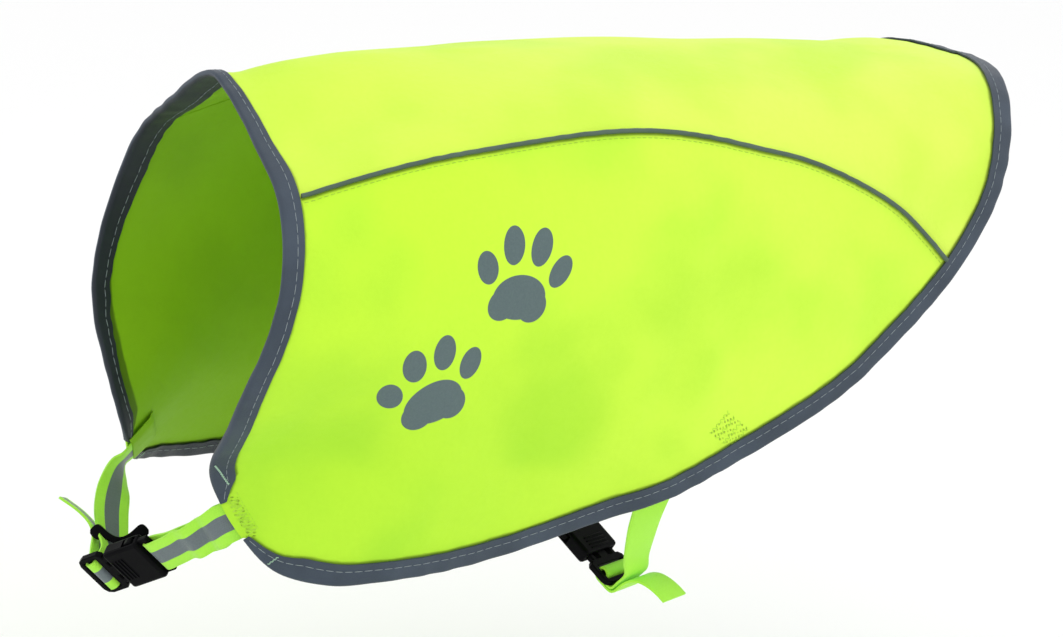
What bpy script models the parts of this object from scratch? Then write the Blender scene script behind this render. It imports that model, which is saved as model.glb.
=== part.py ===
"""Dog safety vest in the shape it has when it is worn, empty, with both of its straps buckled.

The vest is cut from a back panel and two side panels. Each is drawn flat, by how far along the dog
a point is and how far down the cloth from the spine, and is then laid on the form of the worn vest.
All sizes in the tables are millimetres. Lengths run from the peak of the neck edge towards the tail,
the head is at -X, the dog's left is at -Y, and heights are from the same peak.
"""
import bpy
import bmesh
import numpy as np
from mathutils import Matrix

MM = 0.001

# ---- driving sizes ------------------------------------------------------------------------------
PANEL_THICK = 1.2
BINDING_THICK = 0.9
BINDING_WIDTH = 12.0
SEAM_GAP = 0.3
COVER_GAP = 0.6                # under a binding, whose facets don't follow the panel's exactly
PIPING_RADIUS = 1.25
STRAP_WIDTH = 20.0
STRAP_THICK = 1.2
# The panels are divided by lines along and across them, closer together where the cloth bends most.
CELLS_ALONG = ((-18, 27, 7.5), (27, 417, 15.6), (417, 480, 7))
CELLS_DOWN = ((0, 104, 13), (104, 164, 12), (164, 302, 10.5), (302, 350, 12))
EDGE_STEP = 10.5               # longest facet along an edge
ORIGIN_STATION = 235.0         # the point of the spine that the part's origin lies under
SPINE_ROUND = 5.0              # how softly the cloth turns over the spine

# ---- the form of the worn vest --------------------------------------------------------------------
# How steeply the cloth falls, in degrees below level, at these distances down from the spine.
FALL_ARCS = (0, 40, 80, 120, 160, 200, 250, 275, 300, 340)
STATIONS = (
    # along, spine, fall at each of FALL_ARCS
    (-18, -13.6, (19, 22, 37, 61, 97, 121, 126, 91, 59, 52)),
    (20, 0.6, (19, 32, 26, 61, 83, 117, 113, 78, 70, 66)),
    (70, 7.7, (10, 27, 23, 58, 87, 103, 100, 85, 87, 83)),
    (150, 7.9, (5, 13, 30, 64, 88, 97, 98, 96, 93, 87)),
    (260, 6.8, (3, 11, 33, 66, 87, 94, 97, 97, 96, 97)),
    (330, 4.8, (3, 14, 35, 71, 86, 92, 96, 97, 98, 98)),
    (390, 1.7, (3, 13, 34, 79, 91, 92, 96, 97, 98, 98)),
    (430, -1.2, (0, 9, 43, 81, 94, 95, 98, 98, 98, 98)),
    (480, -9.4, (0, 10, 60, 90, 96, 98, 98, 98, 98, 98)),
)
# The neck edge turns outwards, most at the top: its rise, how far it runs straight and in all from
# the edge, and how far down the sides it reaches.
FLARE_RISE, FLARE_STRAIGHT, FLARE_LENGTH, FLARE_REACH = 8.2, 10.0, 22.0, 95.0
# The lower edges hang free: the left one is drawn in and the right one stands off, more at the front.
SWAY_DEGREES = {-1: 12, 1: 24}
SWAY_FROM, SWAY_OVER, SWAY_MOST = 215, 100, 1.3
SWAY_AT_TAIL = 0.3
SWAY_FADES_FROM, SWAY_FADES_OVER = 320, 200
FALL_STEPS = 40

# The largest folds of each side: soft troughs in the cloth.
FOLDS = (
    # along, down, runs (degrees off the spine's line), half length, half width, depth
    (257, 190, 84, 70, 13, 1.5),
    (228, 222, 98, 52, 12, 1.1),
    (62, 262, 28, 52, 17, 1.8),
    (120, 236, 62, 66, 20, 1.5),
    (22, 268, -20, 24, 9, 1.3),
    (203, 288, 72, 30, 17, 1.5),
    (338, 176, 58, 55, 14, 1.2),
    (186, 150, 20, 60, 18, 1.0),
)

# ---- the cut ---------------------------------------------------------------------------------------
# Half of the vest's outer edge, from the peak of the neck round the corner to the tail.
NECK_EDGE = (
    # along, down
    (3.5, 0), (3.4, 28.5), (3.0, 59), (3.2, 86), (0.3, 112), (-4.4, 137.5), (-10.9, 160),
    (-17.5, 186), (-18.6, 221), (-15.2, 258.5),
)
CORNER_EDGE = (
    # the neck binding ends at the first row, the hem binding starts at the second
    (-7.9, 277.5), (1.7, 297),
)
HEM_EDGE = (
    (13, 313), (40, 325.5), (66, 330), (105, 332), (148, 327.5), (190, 316), (234, 302.5),
    (261, 287.5), (300, 262.5), (339, 235), (377, 203), (402, 176.5), (426, 138), (444, 90),
    (457, 53), (467, 24), (470, 0),
)
SEAM_LINE = (
    (3.1, 96), (26, 98), (65, 99.5), (105, 98.6), (147, 96), (189, 94.6), (218, 95.5), (246, 98.9),
    (274, 105.2), (303, 110.7), (332, 120.4), (363, 136.9), (380, 150.7), (405.5, 172.5),
)
EDGE_INSET = 2.0               # from the binding's fold to the panel's edge inside it
BARE_EDGE_INSET = 0.2          # where the corner strap is sewn and nothing binds the edge
# The binding's section: how far in from the fold, and how far above the middle of the panel.
BINDING_LIFT = PANEL_THICK / 2 + COVER_GAP + BINDING_THICK / 2
BINDING_SECTION = (
    (BINDING_WIDTH, BINDING_LIFT), (1.5, BINDING_LIFT), (0.45, 0), (1.5, -BINDING_LIFT),
    (BINDING_WIDTH, -BINDING_LIFT),
)
PIPING_LIFT = PANEL_THICK / 2 + 0.3 + PIPING_RADIUS
PIPING_ENDS = BINDING_WIDTH + 1.0
PIPING_STEP = 12.5

# ---- straps and buckles ------------------------------------------------------------------------------
STRAP_ACROSS = np.linspace(-STRAP_WIDTH / 2, STRAP_WIDTH / 2, 3)
BOUND_LIFT = -3.0              # a strap's middle where it lies inside a panel and its binding
STRAP_FACET = 4.5              # longest facet along a strap
LAYER = 1.75                   # from one layer of a doubled strap to the next
CORNER_ROWS = (15, 10, 5, 0, -5)       # a chest strap's sewn end, inwards from the bare edge

# Side release buckle, with its length from the socket's end to the plug's end.
BUCKLE_LENGTH = 51.4
BUCKLE_WIDTH = 27.4
SOCKET_SLOT = (2.6, 6.0)
SOCKET_TAB_HIGH = 3.6
HOUSING = (6.0, 31.0)
HOUSING_HIGH = 9.0
HOUSING_HOLLOW = (7.6, 21.6, 5.2)      # where it starts, its width and its height
WINDOW = (8.2, 17.2)
WINDOW_HIGH = 5.4
PLUG_HIGH = 3.8
SLOT_HALF = 10.6
END_BAR, SLOT, CENTRE_BAR = 3.3, 3.2, 2.8
PLUG_FRAME = 17.0
PRONG = (6.9, 9.9)             # inner and outer side of a prong
PRONG_TIP, LUG, LUG_OUT = 8.3, (9.0, 16.2), 14.6
TONGUE_HALF, TONGUE_TIP = 3.6, 20.0


def clear_scene():
    for thing in list(bpy.data.objects):
        bpy.data.objects.remove(thing)


def collection(name):
    group = bpy.data.collections.new(name)
    bpy.context.scene.collection.children.link(group)
    return group


def finish(name, colour, roughness):
    look = bpy.data.materials.new(name)
    look.use_nodes = True
    principled = look.node_tree.nodes["Principled BSDF"]
    principled.inputs["Base Color"].default_value = (*colour, 1)
    principled.inputs["Roughness"].default_value = roughness
    principled.inputs["Metallic"].default_value = 0
    return look


# ---- curves and the form -------------------------------------------------------------------------------
def weights(knots, at):
    """How much each knot's value counts at the places 'at' on a smooth curve through them all."""
    knots = np.asarray(knots, float)
    at = np.asarray(at, float)
    count = len(knots)
    index = np.clip(np.searchsorted(knots, at, side="right") - 1, 0, count - 2)
    gap = knots[index + 1] - knots[index]
    t = np.clip((at - knots[index]) / gap, -1, 2)
    slope = np.zeros((count, count))
    for j in range(count):
        if 0 < j < count - 1:
            before = knots[j] - knots[j - 1]
            after = knots[j + 1] - knots[j]
            slope[j, j - 1] = -after / (before * (before + after))
            slope[j, j] = after / (before * (before + after)) - before / (after * (before + after))
            slope[j, j + 1] = before / (after * (before + after))
        else:
            low, high = max(j - 1, 0), min(j + 1, count - 1)
            slope[j, high] += 1 / (knots[high] - knots[low])
            slope[j, low] -= 1 / (knots[high] - knots[low])
    value = np.eye(count)
    t, gap = t[..., None], gap[..., None]
    inside = ((2 * t ** 3 - 3 * t ** 2 + 1) * value[index]
              + (3 * t ** 2 - 2 * t ** 3) * value[index + 1]
              + (t ** 3 - 2 * t ** 2 + t) * gap * slope[index]
              + (t ** 3 - t ** 2) * gap * slope[index + 1])
    below = value[index] + t * gap * slope[index]
    above = value[index + 1] + (t - 1) * gap * slope[index + 1]
    return np.where(t < 0, below, np.where(t > 1, above, inside))


def lengths(points):
    steps = np.linalg.norm(np.diff(points, axis=0), axis=-1)
    return np.concatenate(([0], np.cumsum(steps)))


ALONG = [row[0] for row in STATIONS]
SPINE = np.array([row[1] for row in STATIONS], float)
FALL = np.array([row[2] for row in STATIONS], float)


def sway(along, down, side):
    reach = np.clip((down - SWAY_FROM) / SWAY_OVER, 0, SWAY_MOST)
    ahead = np.clip((SWAY_FADES_FROM - along) / SWAY_FADES_OVER, 0, 1)
    ahead = ahead * ahead * (3 - 2 * ahead)
    degrees = np.where(side < 0, -SWAY_DEGREES[-1], SWAY_DEGREES[1])
    return degrees * reach * (SWAY_AT_TAIL + (1 - SWAY_AT_TAIL) * ahead)


def form(along, across):
    """A point of the worn form; 'across' is the distance down the cloth, negative on the left."""
    side = np.where(across < 0, -1, 1)
    down = np.abs(across)
    at_station = weights(ALONG, along)
    falls = at_station @ FALL
    steps = (np.arange(FALL_STEPS) + 0.5) / FALL_STEPS
    way = down[..., None] * steps
    degrees = np.einsum("...a,...sa->...s", falls, weights(FALL_ARCS, way))
    degrees = degrees * way / np.sqrt(way ** 2 + SPINE_ROUND ** 2)
    degrees = degrees - sway(along[..., None], way, side[..., None])
    out = np.cos(np.radians(degrees)).mean(-1) * down
    drop = np.sin(np.radians(degrees)).mean(-1) * down
    return np.stack([along, side * out, at_station @ SPINE - drop], -1)


def folds(along, across):
    """How far the cloth lies below the plain form, from the largest folds."""
    down = np.abs(across)
    depth = np.zeros_like(down)
    for at, below, runs, half_length, half_width, deep in FOLDS:
        c, s = np.cos(np.radians(runs)), np.sin(np.radians(runs))
        lengthwise = ((along - at) * c + (down - below) * s) / half_length
        sideways = ((down - below) * c - (along - at) * s) / half_width
        depth += deep * np.exp(-lengthwise ** 2 - sideways ** 2)
    return depth


def flare(along, across):
    """How far the cloth near the neck edge stands off the plain form."""
    down = np.abs(across)
    neck = np.array(NECK_EDGE + CORNER_EDGE)
    left = np.clip(FLARE_LENGTH - along + np.interp(down, neck[:, 1], neck[:, 0]), 0, FLARE_LENGTH)
    bend = FLARE_LENGTH - FLARE_STRAIGHT
    rise = np.where(left < bend, left ** 2 / (2 * bend), left - bend / 2) / (FLARE_LENGTH - bend / 2)
    return FLARE_RISE * rise * np.exp(-(down / FLARE_REACH) ** 2)


def lay(pattern, lift=0.0):
    """Lay points of the flat pattern on the worn form, 'lift' above the middle of the cloth."""
    along, across = pattern[..., 0], pattern[..., 1]
    near = 0.5
    ahead = form(along + near, across) - form(along - near, across)
    sideways = form(along, across + near) - form(along, across - near)
    outward = np.cross(ahead, sideways)
    outward /= np.linalg.norm(outward, axis=-1, keepdims=True)
    height = lift + flare(along, across) - folds(along, across)
    return form(along, across) + outward * np.asarray(height)[..., None]


# The origin: inside the back panel, under the spine.
ORIGIN = lay(np.array([ORIGIN_STATION, 0.0]), -PANEL_THICK / 2)


def place(points):
    return (np.asarray(points) - ORIGIN) * MM


# ---- the outline ----------------------------------------------------------------------
HALF_EDGE = np.array(NECK_EDGE + CORNER_EDGE + HEM_EDGE, float)
MIRRORED = HALF_EDGE * (1, -1)
EDGE_ROWS = np.concatenate((MIRRORED[1:2], HALF_EDGE, MIRRORED[-2:-1]))
EDGE_KNOTS = lengths(EDGE_ROWS) - lengths(EDGE_ROWS)[1]
TAIL_CENTRE = EDGE_KNOTS[-2]
NECK_ENDS = EDGE_KNOTS[1 + len(NECK_EDGE)]
HEM_STARTS = EDGE_KNOTS[2 + len(NECK_EDGE)]


def edge(way, inset=0.0):
    """The right half of the outer edge, 'way' along it from the neck's peak, moved inwards."""
    near = 0.25
    tangent = weights(EDGE_KNOTS, way + near) @ EDGE_ROWS - weights(EDGE_KNOTS, way - near) @ EDGE_ROWS
    tangent /= np.linalg.norm(tangent, axis=-1, keepdims=True)
    inward = np.stack([tangent[..., 1], -tangent[..., 0]], -1)
    return weights(EDGE_KNOTS, way) @ EDGE_ROWS + inward * np.asarray(inset)[..., None]


def stretch(start, end, step=EDGE_STEP):
    """Evenly spaced places from start to end, no further apart than step."""
    return np.linspace(start, end, int(np.ceil(abs(end - start) / step)) + 1)


SEAM_ROWS = np.array(SEAM_LINE, float)
SEAM_KNOTS = lengths(SEAM_ROWS)


def seam(way, offset=0.0):
    """The right seam, 'way' along it from the neck edge; a positive offset moves it to the hem."""
    near = 0.25
    tangent = weights(SEAM_KNOTS, way + near) @ SEAM_ROWS - weights(SEAM_KNOTS, way - near) @ SEAM_ROWS
    tangent /= np.linalg.norm(tangent, axis=-1, keepdims=True)
    sideways = np.stack([-tangent[..., 1], tangent[..., 0]], -1)
    return weights(SEAM_KNOTS, way) @ SEAM_ROWS + sideways * offset


def edge_way_nearest(point, start, end):
    ways = np.linspace(start, end, 4001)
    return ways[np.linalg.norm(edge(ways) - point, axis=-1).argmin()]


SEAM_AT_NECK = edge_way_nearest(SEAM_ROWS[0], 0, NECK_ENDS)
SEAM_AT_HEM = edge_way_nearest(SEAM_ROWS[-1], HEM_STARTS, TAIL_CENTRE)


def seam_between(start_gap, end_gap, step):
    """Places along the seam that keep these distances from the outer edge at its two ends."""
    ways = np.linspace(0, SEAM_KNOTS[-1], 800)
    rim = edge(np.linspace(0, TAIL_CENTRE, 1200))
    clear = np.linalg.norm(seam(ways)[:, None] - rim[None], axis=-1).min(1)
    half = len(ways) // 2
    start = ways[:half][clear[:half] >= start_gap][0]
    end = ways[half:][clear[half:] >= end_gap][-1]
    return stretch(start, end, step)


def mirrored(points, side):
    """The same points on the right side, or turned over to the left with their order kept outward."""
    return points if side > 0 else points[::-1] * (1, -1)


def side_outline():
    bare_from, bare_to = NECK_ENDS + 0.7, HEM_STARTS - 0.7
    rim = np.concatenate((
        edge(stretch(SEAM_AT_NECK + SEAM_GAP / 2, NECK_ENDS + 0.4), EDGE_INSET),
        edge(stretch(bare_from, bare_to), BARE_EDGE_INSET),
        edge(stretch(HEM_STARTS - 0.4, SEAM_AT_HEM - SEAM_GAP / 2), EDGE_INSET),
    ))
    join = seam(seam_between(7, 7, EDGE_STEP), SEAM_GAP / 2)
    return np.concatenate((join, rim[::-1]))


def back_outline():
    half_neck = edge(stretch(0, SEAM_AT_NECK - SEAM_GAP / 2), EDGE_INSET)
    half_tail = edge(stretch(SEAM_AT_HEM + SEAM_GAP / 2, TAIL_CENTRE), EDGE_INSET)
    join = seam(seam_between(7, 7, EDGE_STEP), -SEAM_GAP / 2)
    right = np.concatenate((half_neck, join, half_tail))
    left = right[1:-1] * (1, -1)
    return np.concatenate((right[::-1], left))


# ---- making objects -----------------------------------------------------------------------------------------
def add(name, mesh, look, group):
    thing = bpy.data.objects.new(name, mesh)
    mesh.materials.append(look)
    group.objects.link(thing)
    return thing


def thicken(thing, thickness):
    shell = thing.modifiers.new("thickness", "SOLIDIFY")
    shell.thickness = thickness * MM
    shell.offset = 0
    shell.use_even_offset = True
    shell.use_quality_normals = True
    thing.data.shade_smooth()
    thing.data.set_sharp_from_angle(angle=np.radians(50))


def cell_lines(table):
    return np.concatenate([np.arange(start, end, step) for start, end, step in table])


def cut_piece(name, outline, look, group):
    """Cut a flat piece of cloth along an outline, divide it into cells and lay it on the form."""
    flat = bmesh.new()
    flat.faces.new([flat.verts.new((along, across, 0)) for along, across in outline])
    down = cell_lines(CELLS_DOWN)
    for normal, lines in (((1, 0, 0), cell_lines(CELLS_ALONG)), ((0, 1, 0), [*-down[:0:-1], *down])):
        for at in lines:
            everything = flat.verts[:] + flat.edges[:] + flat.faces[:]
            bmesh.ops.bisect_plane(flat, geom=everything, plane_co=np.multiply(normal, at),
                                   plane_no=normal, dist=0.001)
    bmesh.ops.remove_doubles(flat, verts=flat.verts[:], dist=1.0)
    bmesh.ops.triangulate(flat, faces=[face for face in flat.faces if len(face.verts) > 4])
    pattern = np.array([vert.co[:2] for vert in flat.verts])
    for vert, point in zip(flat.verts, place(lay(pattern))):
        vert.co = point
    mesh = bpy.data.meshes.new(name)
    flat.to_mesh(mesh)
    flat.free()
    piece = add(name, mesh, look, group)
    thicken(piece, PANEL_THICK)
    return piece


def strip(name, grid, thickness, look, group):
    """A band through a grid of points: rows along it, columns across it."""
    rows, columns = grid.shape[:2]
    corners = [(r * columns + c, r * columns + c + 1, (r + 1) * columns + c + 1, (r + 1) * columns + c)
               for r in range(rows - 1) for c in range(columns - 1)]
    mesh = bpy.data.meshes.new(name)
    mesh.from_pydata(place(grid).reshape(-1, 3).tolist(), [], corners)
    band = add(name, mesh, look, group)
    thicken(band, thickness)
    return band


def binding(name, ways, from_tail, look, group):
    """A folded band round the outer edge; 'ways' are signed, negative on the left."""
    distance = TAIL_CENTRE - np.abs(ways) if from_tail else np.abs(ways)
    side = np.where(ways < 0, -1, 1)
    columns = []
    for inset, lift in BINDING_SECTION:
        pattern = edge(distance, np.full(len(ways), inset))
        pattern[:, 1] *= side
        columns.append(lay(pattern, lift))
    return strip(name, np.stack(columns, 1), BINDING_THICK, look, group)


def piping(name, side, look, group):
    """A thin cord along a seam, lying on both panels."""
    pattern = seam(seam_between(PIPING_ENDS, PIPING_ENDS, PIPING_STEP)) * (1, side)
    points = place(lay(pattern, PIPING_LIFT))
    line = bpy.data.curves.new(name, "CURVE")
    line.dimensions = "3D"
    line.bevel_depth = PIPING_RADIUS * MM
    line.bevel_resolution = 2
    line.use_fill_caps = True
    spline = line.splines.new("POLY")
    spline.points.add(len(points) - 1)
    for dot, point in zip(spline.points, points):
        dot.co = (*point, 1)
    line.materials.append(look)
    group.objects.link(bpy.data.objects.new(name, line))


# ---- straps ----------------------------------------------------------------------
def unit(vector):
    return np.asarray(vector, float) / np.linalg.norm(vector)


def free_row(centre, width):
    return np.asarray(centre, float) + STRAP_ACROSS[:, None] * unit(width)


def sewn_row(centre, heading, lift, side):
    """A strap's row inside a panel, at a point of the right half's pattern, square to its heading."""
    heading = unit(heading)
    across = np.array([-heading[1], heading[0]])
    pattern = (np.asarray(centre) + STRAP_ACROSS[:, None] * across) * (1, side)
    return lay(pattern, np.full(len(STRAP_ACROSS), lift))


def bridge(start, end, waves):
    """Rows between two rows: how far along, how far off the strap's face, and how far sideways."""
    rows = []
    for part, rise, shift in waves:
        row = start * (1 - part) + end * part
        width = unit(row[-1] - row[0])
        travel = unit(end.mean(0) - start.mean(0))
        rows.append(row + unit(np.cross(travel, width)) * rise + width * shift)
    return rows


def strap(name, rows, look, group):
    """Webbing through rows of points, with a smooth run between them."""
    rows = np.stack(rows)
    knots = lengths(rows.mean(1))
    runs = [stretch(start, end, STRAP_FACET)[:-1] for start, end in zip(knots, knots[1:])]
    ways = np.concatenate(runs + [knots[-1:]])
    grid = np.einsum("pk,kcd->pcd", weights(knots, ways), rows)
    return strip(name, grid, STRAP_THICK, look, group)


# Each buckle: where its socket's end is, which way its plug lies and which way its width runs.
CHEST_BUCKLE = ((-22.6, -20.0, -248.3), (-0.412, 0.778, -0.473), (0.675, 0, -0.737))
BELLY_BUCKLE = ((224.5, -5.0, -253.6), (0.343, -0.763, -0.55), (0.92, 0.40, 0.02))


class Buckle:
    """A buckle's own frame: along it to the plug, across its width, and out of its outer face."""

    def __init__(self, origin, along, across):
        self.origin = np.array(origin)
        self.along = unit(along)
        self.outward = unit(np.cross(along, across))
        self.across = np.cross(self.outward, self.along)

    def at(self, along, across, outward):
        return self.origin + self.along * along + self.across * across + self.outward * outward

    def row(self, along, outward, sideways=0.0, width=(0, 1, 0)):
        """A strap's row: its width is given along, across and out of the buckle."""
        turned = self.along * width[0] + self.across * width[1] + self.outward * width[2]
        return free_row(self.at(along, sideways, outward), turned)

    def matrix(self):
        columns = np.eye(4)
        columns[:3, 0], columns[:3, 1], columns[:3, 2] = self.along, self.across, self.outward
        columns[:3, 3] = place(self.origin)
        return Matrix(columns.tolist())


SOCKET_TURN = (
    # a strap round the socket's bar: along the buckle, out of its face
    (-11, 1.3), (-4, 2.3), (0.2, 2.85), (2.2, 2.75), (3.7, 1.9), (4.1, 0),
    (3.7, -1.9), (2.2, -2.75), (0.2, -2.85), (-4, -2.3), (-11, -1.3),
)
CHEST_SLIDER = (
    # the chest strap through the plug: from the plug's end, out of its face
    (-11.5, -9), (-11.0, -3.6), (-10.9, 0), (-10.2, 2.4), (-8.6, 3.0), (-7.2, 3.0), (-5.6, 2.4),
    (-4.9, 0), (-4.8, -3.6),
)
CHEST_TAIL = (
    # from the plug's end, out of its face, sideways, and the width along, across and out
    (-3.6, -11, -1, (0, 1, 0)), (-1.5, -19, -3, (0.2, 0.96, -0.2)), (2, -27, -8, (0.4, 0.8, -0.42)),
    (7, -33, -17, (0.52, 0.62, -0.58)), (14, -37, -28, (0.54, 0.56, -0.62)),
)
BELLY_SLIDER = (
    (3.2, 10), (2.3, 4), (1.8, 0.5), (1.3, -1.8), (-0.2, -2.85), (-1.9, -2.9), (-3.7, -2.5),
    (-4.7, -1.2), (-4.9, 0.6), (-5.4, 2.4), (-6.9, 3.2), (-9, 3.3), (-10.4, 2.4), (-10.9, 0),
    (-10.9, -2.4), (-10.1, -4.1), (-8.3, -4.7), (-4, -4.65), (-0.4, -4.6), (2.1, -3.9), (3.6, -2),
    (4.1, 0.5),
)
BELLY_TAIL = (
    (4.5, 4, 1.2, (0, 1, 0)), (6.4, 8.6, 2.5, (0, 1, 0)), (10.5, 12, 4, (0, 1, 0)),
    (16, 13.6, 5.2, (0, 1, 0)), (22, 14.2, 6, (0, 1, 0)), (28, 14, 6.5, (0, 1, 0)),
)
CHEST_LEFT_WAVES = ((0.2, 1.4, 0.4), (0.42, -2.0, 0.9), (0.66, 1.8, 0.5), (0.86, -0.6, 0))
CHEST_LEFT_INNER_WAVES = ((0.2, 1.4, 1.5), (0.55, 4.2, 3.0), (0.8, 2.2, 1.8))
CHEST_RIGHT_RUN = (
    # place, width
    ((-10.7, 67.7, -231.2), (0.53, 0.28, -0.80)), ((-17.5, 57.6, -237.7), (0.82, -0.11, -0.57)),
    ((-23.8, 45.9, -244.7), (0.88, -0.24, -0.41)), ((-28.6, 33.5, -251.6), (0.88, -0.17, -0.45)),
    ((-31.9, 23.4, -257.5), (0.78, -0.07, -0.62)),
)
# Where the belly strap is sewn, and its run from there to the buckle on the left and on the right.
BELLY_SEWN = (
    # along, down, how far the strap's middle lies above the panel's
    (278, 252, -2.9), (272.5, 257.5, -2.9), (267, 263, -3.2), (261.5, 268.5, -4.2),
)
BELLY_LEFT_RUN = (
    # place, width
    ((249, -88, -202), (0.80, 0.03, -0.55)), ((239.5, -79.5, -217.5), (0.93, 0.0, -0.20)),
    ((236.5, -74, -235), (0.97, 0.05, 0.08)), ((238.5, -65.5, -252), (0.95, 0.20, 0.08)),
    ((242.2, -57, -265.5), (0.93, 0.33, 0.05)),
)
BELLY_RIGHT_RUN = (
    ((249, 92, -202), (0.80, -0.03, -0.55)), ((240, 80, -216), (0.93, -0.05, -0.25)),
    ((232, 62.5, -228.8), (0.97, -0.12, -0.05)), ((226, 31, -238.6), (0.96, 0.2, 0.0)),
)


def corner_rows(side, lift):
    """Rows of a chest strap from its sewn end inside the panel out past the corner's bare edge."""
    middle = np.array((NECK_ENDS + HEM_STARTS) / 2)
    heading = edge(middle, 1.0) - edge(middle, 0.0)
    return [sewn_row(edge(middle, inside), heading, lift, side) for inside in CORNER_ROWS]


def faced(rows, towards):
    """Turn each row end for end if need be, so that its width runs with the row it meets."""
    width = towards[-1] - towards[0]
    return [row if np.dot(row[-1] - row[0], width) > 0 else row[::-1] for row in rows]


def chest_left_rows(buckle):
    turn = [buckle.row(*spot) for spot in SOCKET_TURN]
    outer = faced(corner_rows(-1, BOUND_LIFT), turn[0])
    inner = faced(corner_rows(-1, BOUND_LIFT - LAYER), turn[0])[::-1]
    return (outer + bridge(outer[-1], turn[0], CHEST_LEFT_WAVES) + turn
            + bridge(turn[-1], inner[0], CHEST_LEFT_INNER_WAVES) + inner)


def chest_right_rows(buckle):
    slider = [buckle.row(BUCKLE_LENGTH + from_end, out) for from_end, out in CHEST_SLIDER]
    tail = [buckle.row(BUCKLE_LENGTH + from_end, out, sideways, width)
            for from_end, out, sideways, width in CHEST_TAIL]
    sewn = faced(corner_rows(1, BOUND_LIFT), slider[0])
    run = [free_row(*spot) for spot in CHEST_RIGHT_RUN]
    return sewn + faced(run, slider[0]) + slider + tail


def belly_sewn_rows(side):
    heading = np.subtract(BELLY_SEWN[0][:2], BELLY_SEWN[-1][:2])
    return [sewn_row((along, down), heading, lift, side) for along, down, lift in BELLY_SEWN]


def belly_left_rows(buckle):
    slider = [buckle.row(BUCKLE_LENGTH + from_end, out) for from_end, out in BELLY_SLIDER]
    tail = [buckle.row(BUCKLE_LENGTH + from_end, out, sideways, width)
            for from_end, out, sideways, width in BELLY_TAIL]
    run = [free_row(*spot) for spot in BELLY_LEFT_RUN]
    return faced(belly_sewn_rows(-1), run[0]) + run + slider + tail


def belly_right_rows(buckle):
    turn = [buckle.row(*spot) for spot in SOCKET_TURN]
    run = [free_row(*spot) for spot in BELLY_RIGHT_RUN]
    doubled = [buckle.row(*spot) for spot in ((-17, -1.15), (-24, -1.3))]
    return faced(belly_sewn_rows(1), run[0]) + run + turn + doubled


# ---- buckles ----------------------------------------------------------------------
def block(name, low, high, matrix, group, mesh_look=None):
    """A box between two corners of the buckle's frame."""
    low, high = np.array(low) * MM, np.array(high) * MM
    solid = bmesh.new()
    bmesh.ops.create_cube(solid, size=1)
    bmesh.ops.scale(solid, vec=high - low, verts=solid.verts)
    bmesh.ops.translate(solid, vec=(high + low) / 2, verts=solid.verts)
    mesh = bpy.data.meshes.new(name)
    solid.to_mesh(mesh)
    solid.free()
    thing = bpy.data.objects.new(name, mesh)
    if mesh_look:
        mesh.materials.append(mesh_look)
    thing.matrix_world = matrix
    group.objects.link(thing)
    return thing


def helper(name, low, high, matrix, group):
    thing = block(name, low, high, matrix, group)
    thing.hide_render = True
    thing.display_type = "WIRE"
    return thing


def combine(thing, other, operation):
    step = thing.modifiers.new(other.name, "BOOLEAN")
    step.operation = operation
    step.object = other


def soften(thing, width, segments=2):
    bevel = thing.modifiers.new("softened edges", "BEVEL")
    bevel.width = width * MM
    bevel.segments = segments
    bevel.limit_method = "ANGLE"
    bevel.angle_limit = np.radians(50)
    thing.data.shade_smooth()


def socket(name, buckle, look, group, cutters):
    """The hollow half: a housing with a window each side, and a bar for the strap."""
    matrix = buckle.matrix()
    half = BUCKLE_WIDTH / 2
    body = block(name, (HOUSING[0], -half, -HOUSING_HIGH / 2), (HOUSING[1], half, HOUSING_HIGH / 2),
                 matrix, group, look)
    soften(body, 2.0, 3)
    tab = helper(name + "_tab", (0, -half + 0.8, -SOCKET_TAB_HIGH / 2),
                 (HOUSING[0] + 3, half - 0.8, SOCKET_TAB_HIGH / 2), matrix, cutters)
    soften(tab, 0.9)
    combine(body, tab, "UNION")
    hollow_from, hollow_wide, hollow_high = HOUSING_HOLLOW
    cuts = (
        ("slot", (SOCKET_SLOT[0], -SLOT_HALF, -9), (SOCKET_SLOT[1], SLOT_HALF, 9)),
        ("hollow", (hollow_from, -hollow_wide / 2, -hollow_high / 2),
         (HOUSING[1] + 5, hollow_wide / 2, hollow_high / 2)),
        ("windows", (WINDOW[0], -half - 3, -WINDOW_HIGH / 2), (WINDOW[1], half + 3, WINDOW_HIGH / 2)),
    )
    for part, low, high in cuts:
        combine(body, helper(f"{name}_{part}", low, high, matrix, cutters), "DIFFERENCE")
    return body


def plug_outline():
    """The plug's flat outline, for the half at positive width, from its tip to the middle of its end."""
    length, half = BUCKLE_LENGTH, BUCKLE_WIDTH / 2
    shoulder = length - PLUG_FRAME
    return (
        (TONGUE_TIP, 0), (TONGUE_TIP, TONGUE_HALF - 1.2), (TONGUE_TIP + 1.2, TONGUE_HALF),
        (shoulder, TONGUE_HALF), (shoulder, PRONG[0]), (LUG[1] + 6, PRONG[0]),
        (PRONG_TIP + 0.8, PRONG[0]), (PRONG_TIP, PRONG[0] + 0.8), (PRONG_TIP, PRONG[1] - 0.6),
        (LUG[0], PRONG[1]), (LUG[0] + 1.6, LUG_OUT - 0.5), (LUG[0] + 3.4, LUG_OUT),
        (LUG[1] - 0.8, LUG_OUT - 0.6), (LUG[1], PRONG[1]), (shoulder, PRONG[1]),
        (shoulder, half - 2.2), (shoulder + 2.2, half), (length - 4.5, half), (length - 1.4, half - 1.4),
        (length, half - 4.5), (length, 0),
    )


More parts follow.
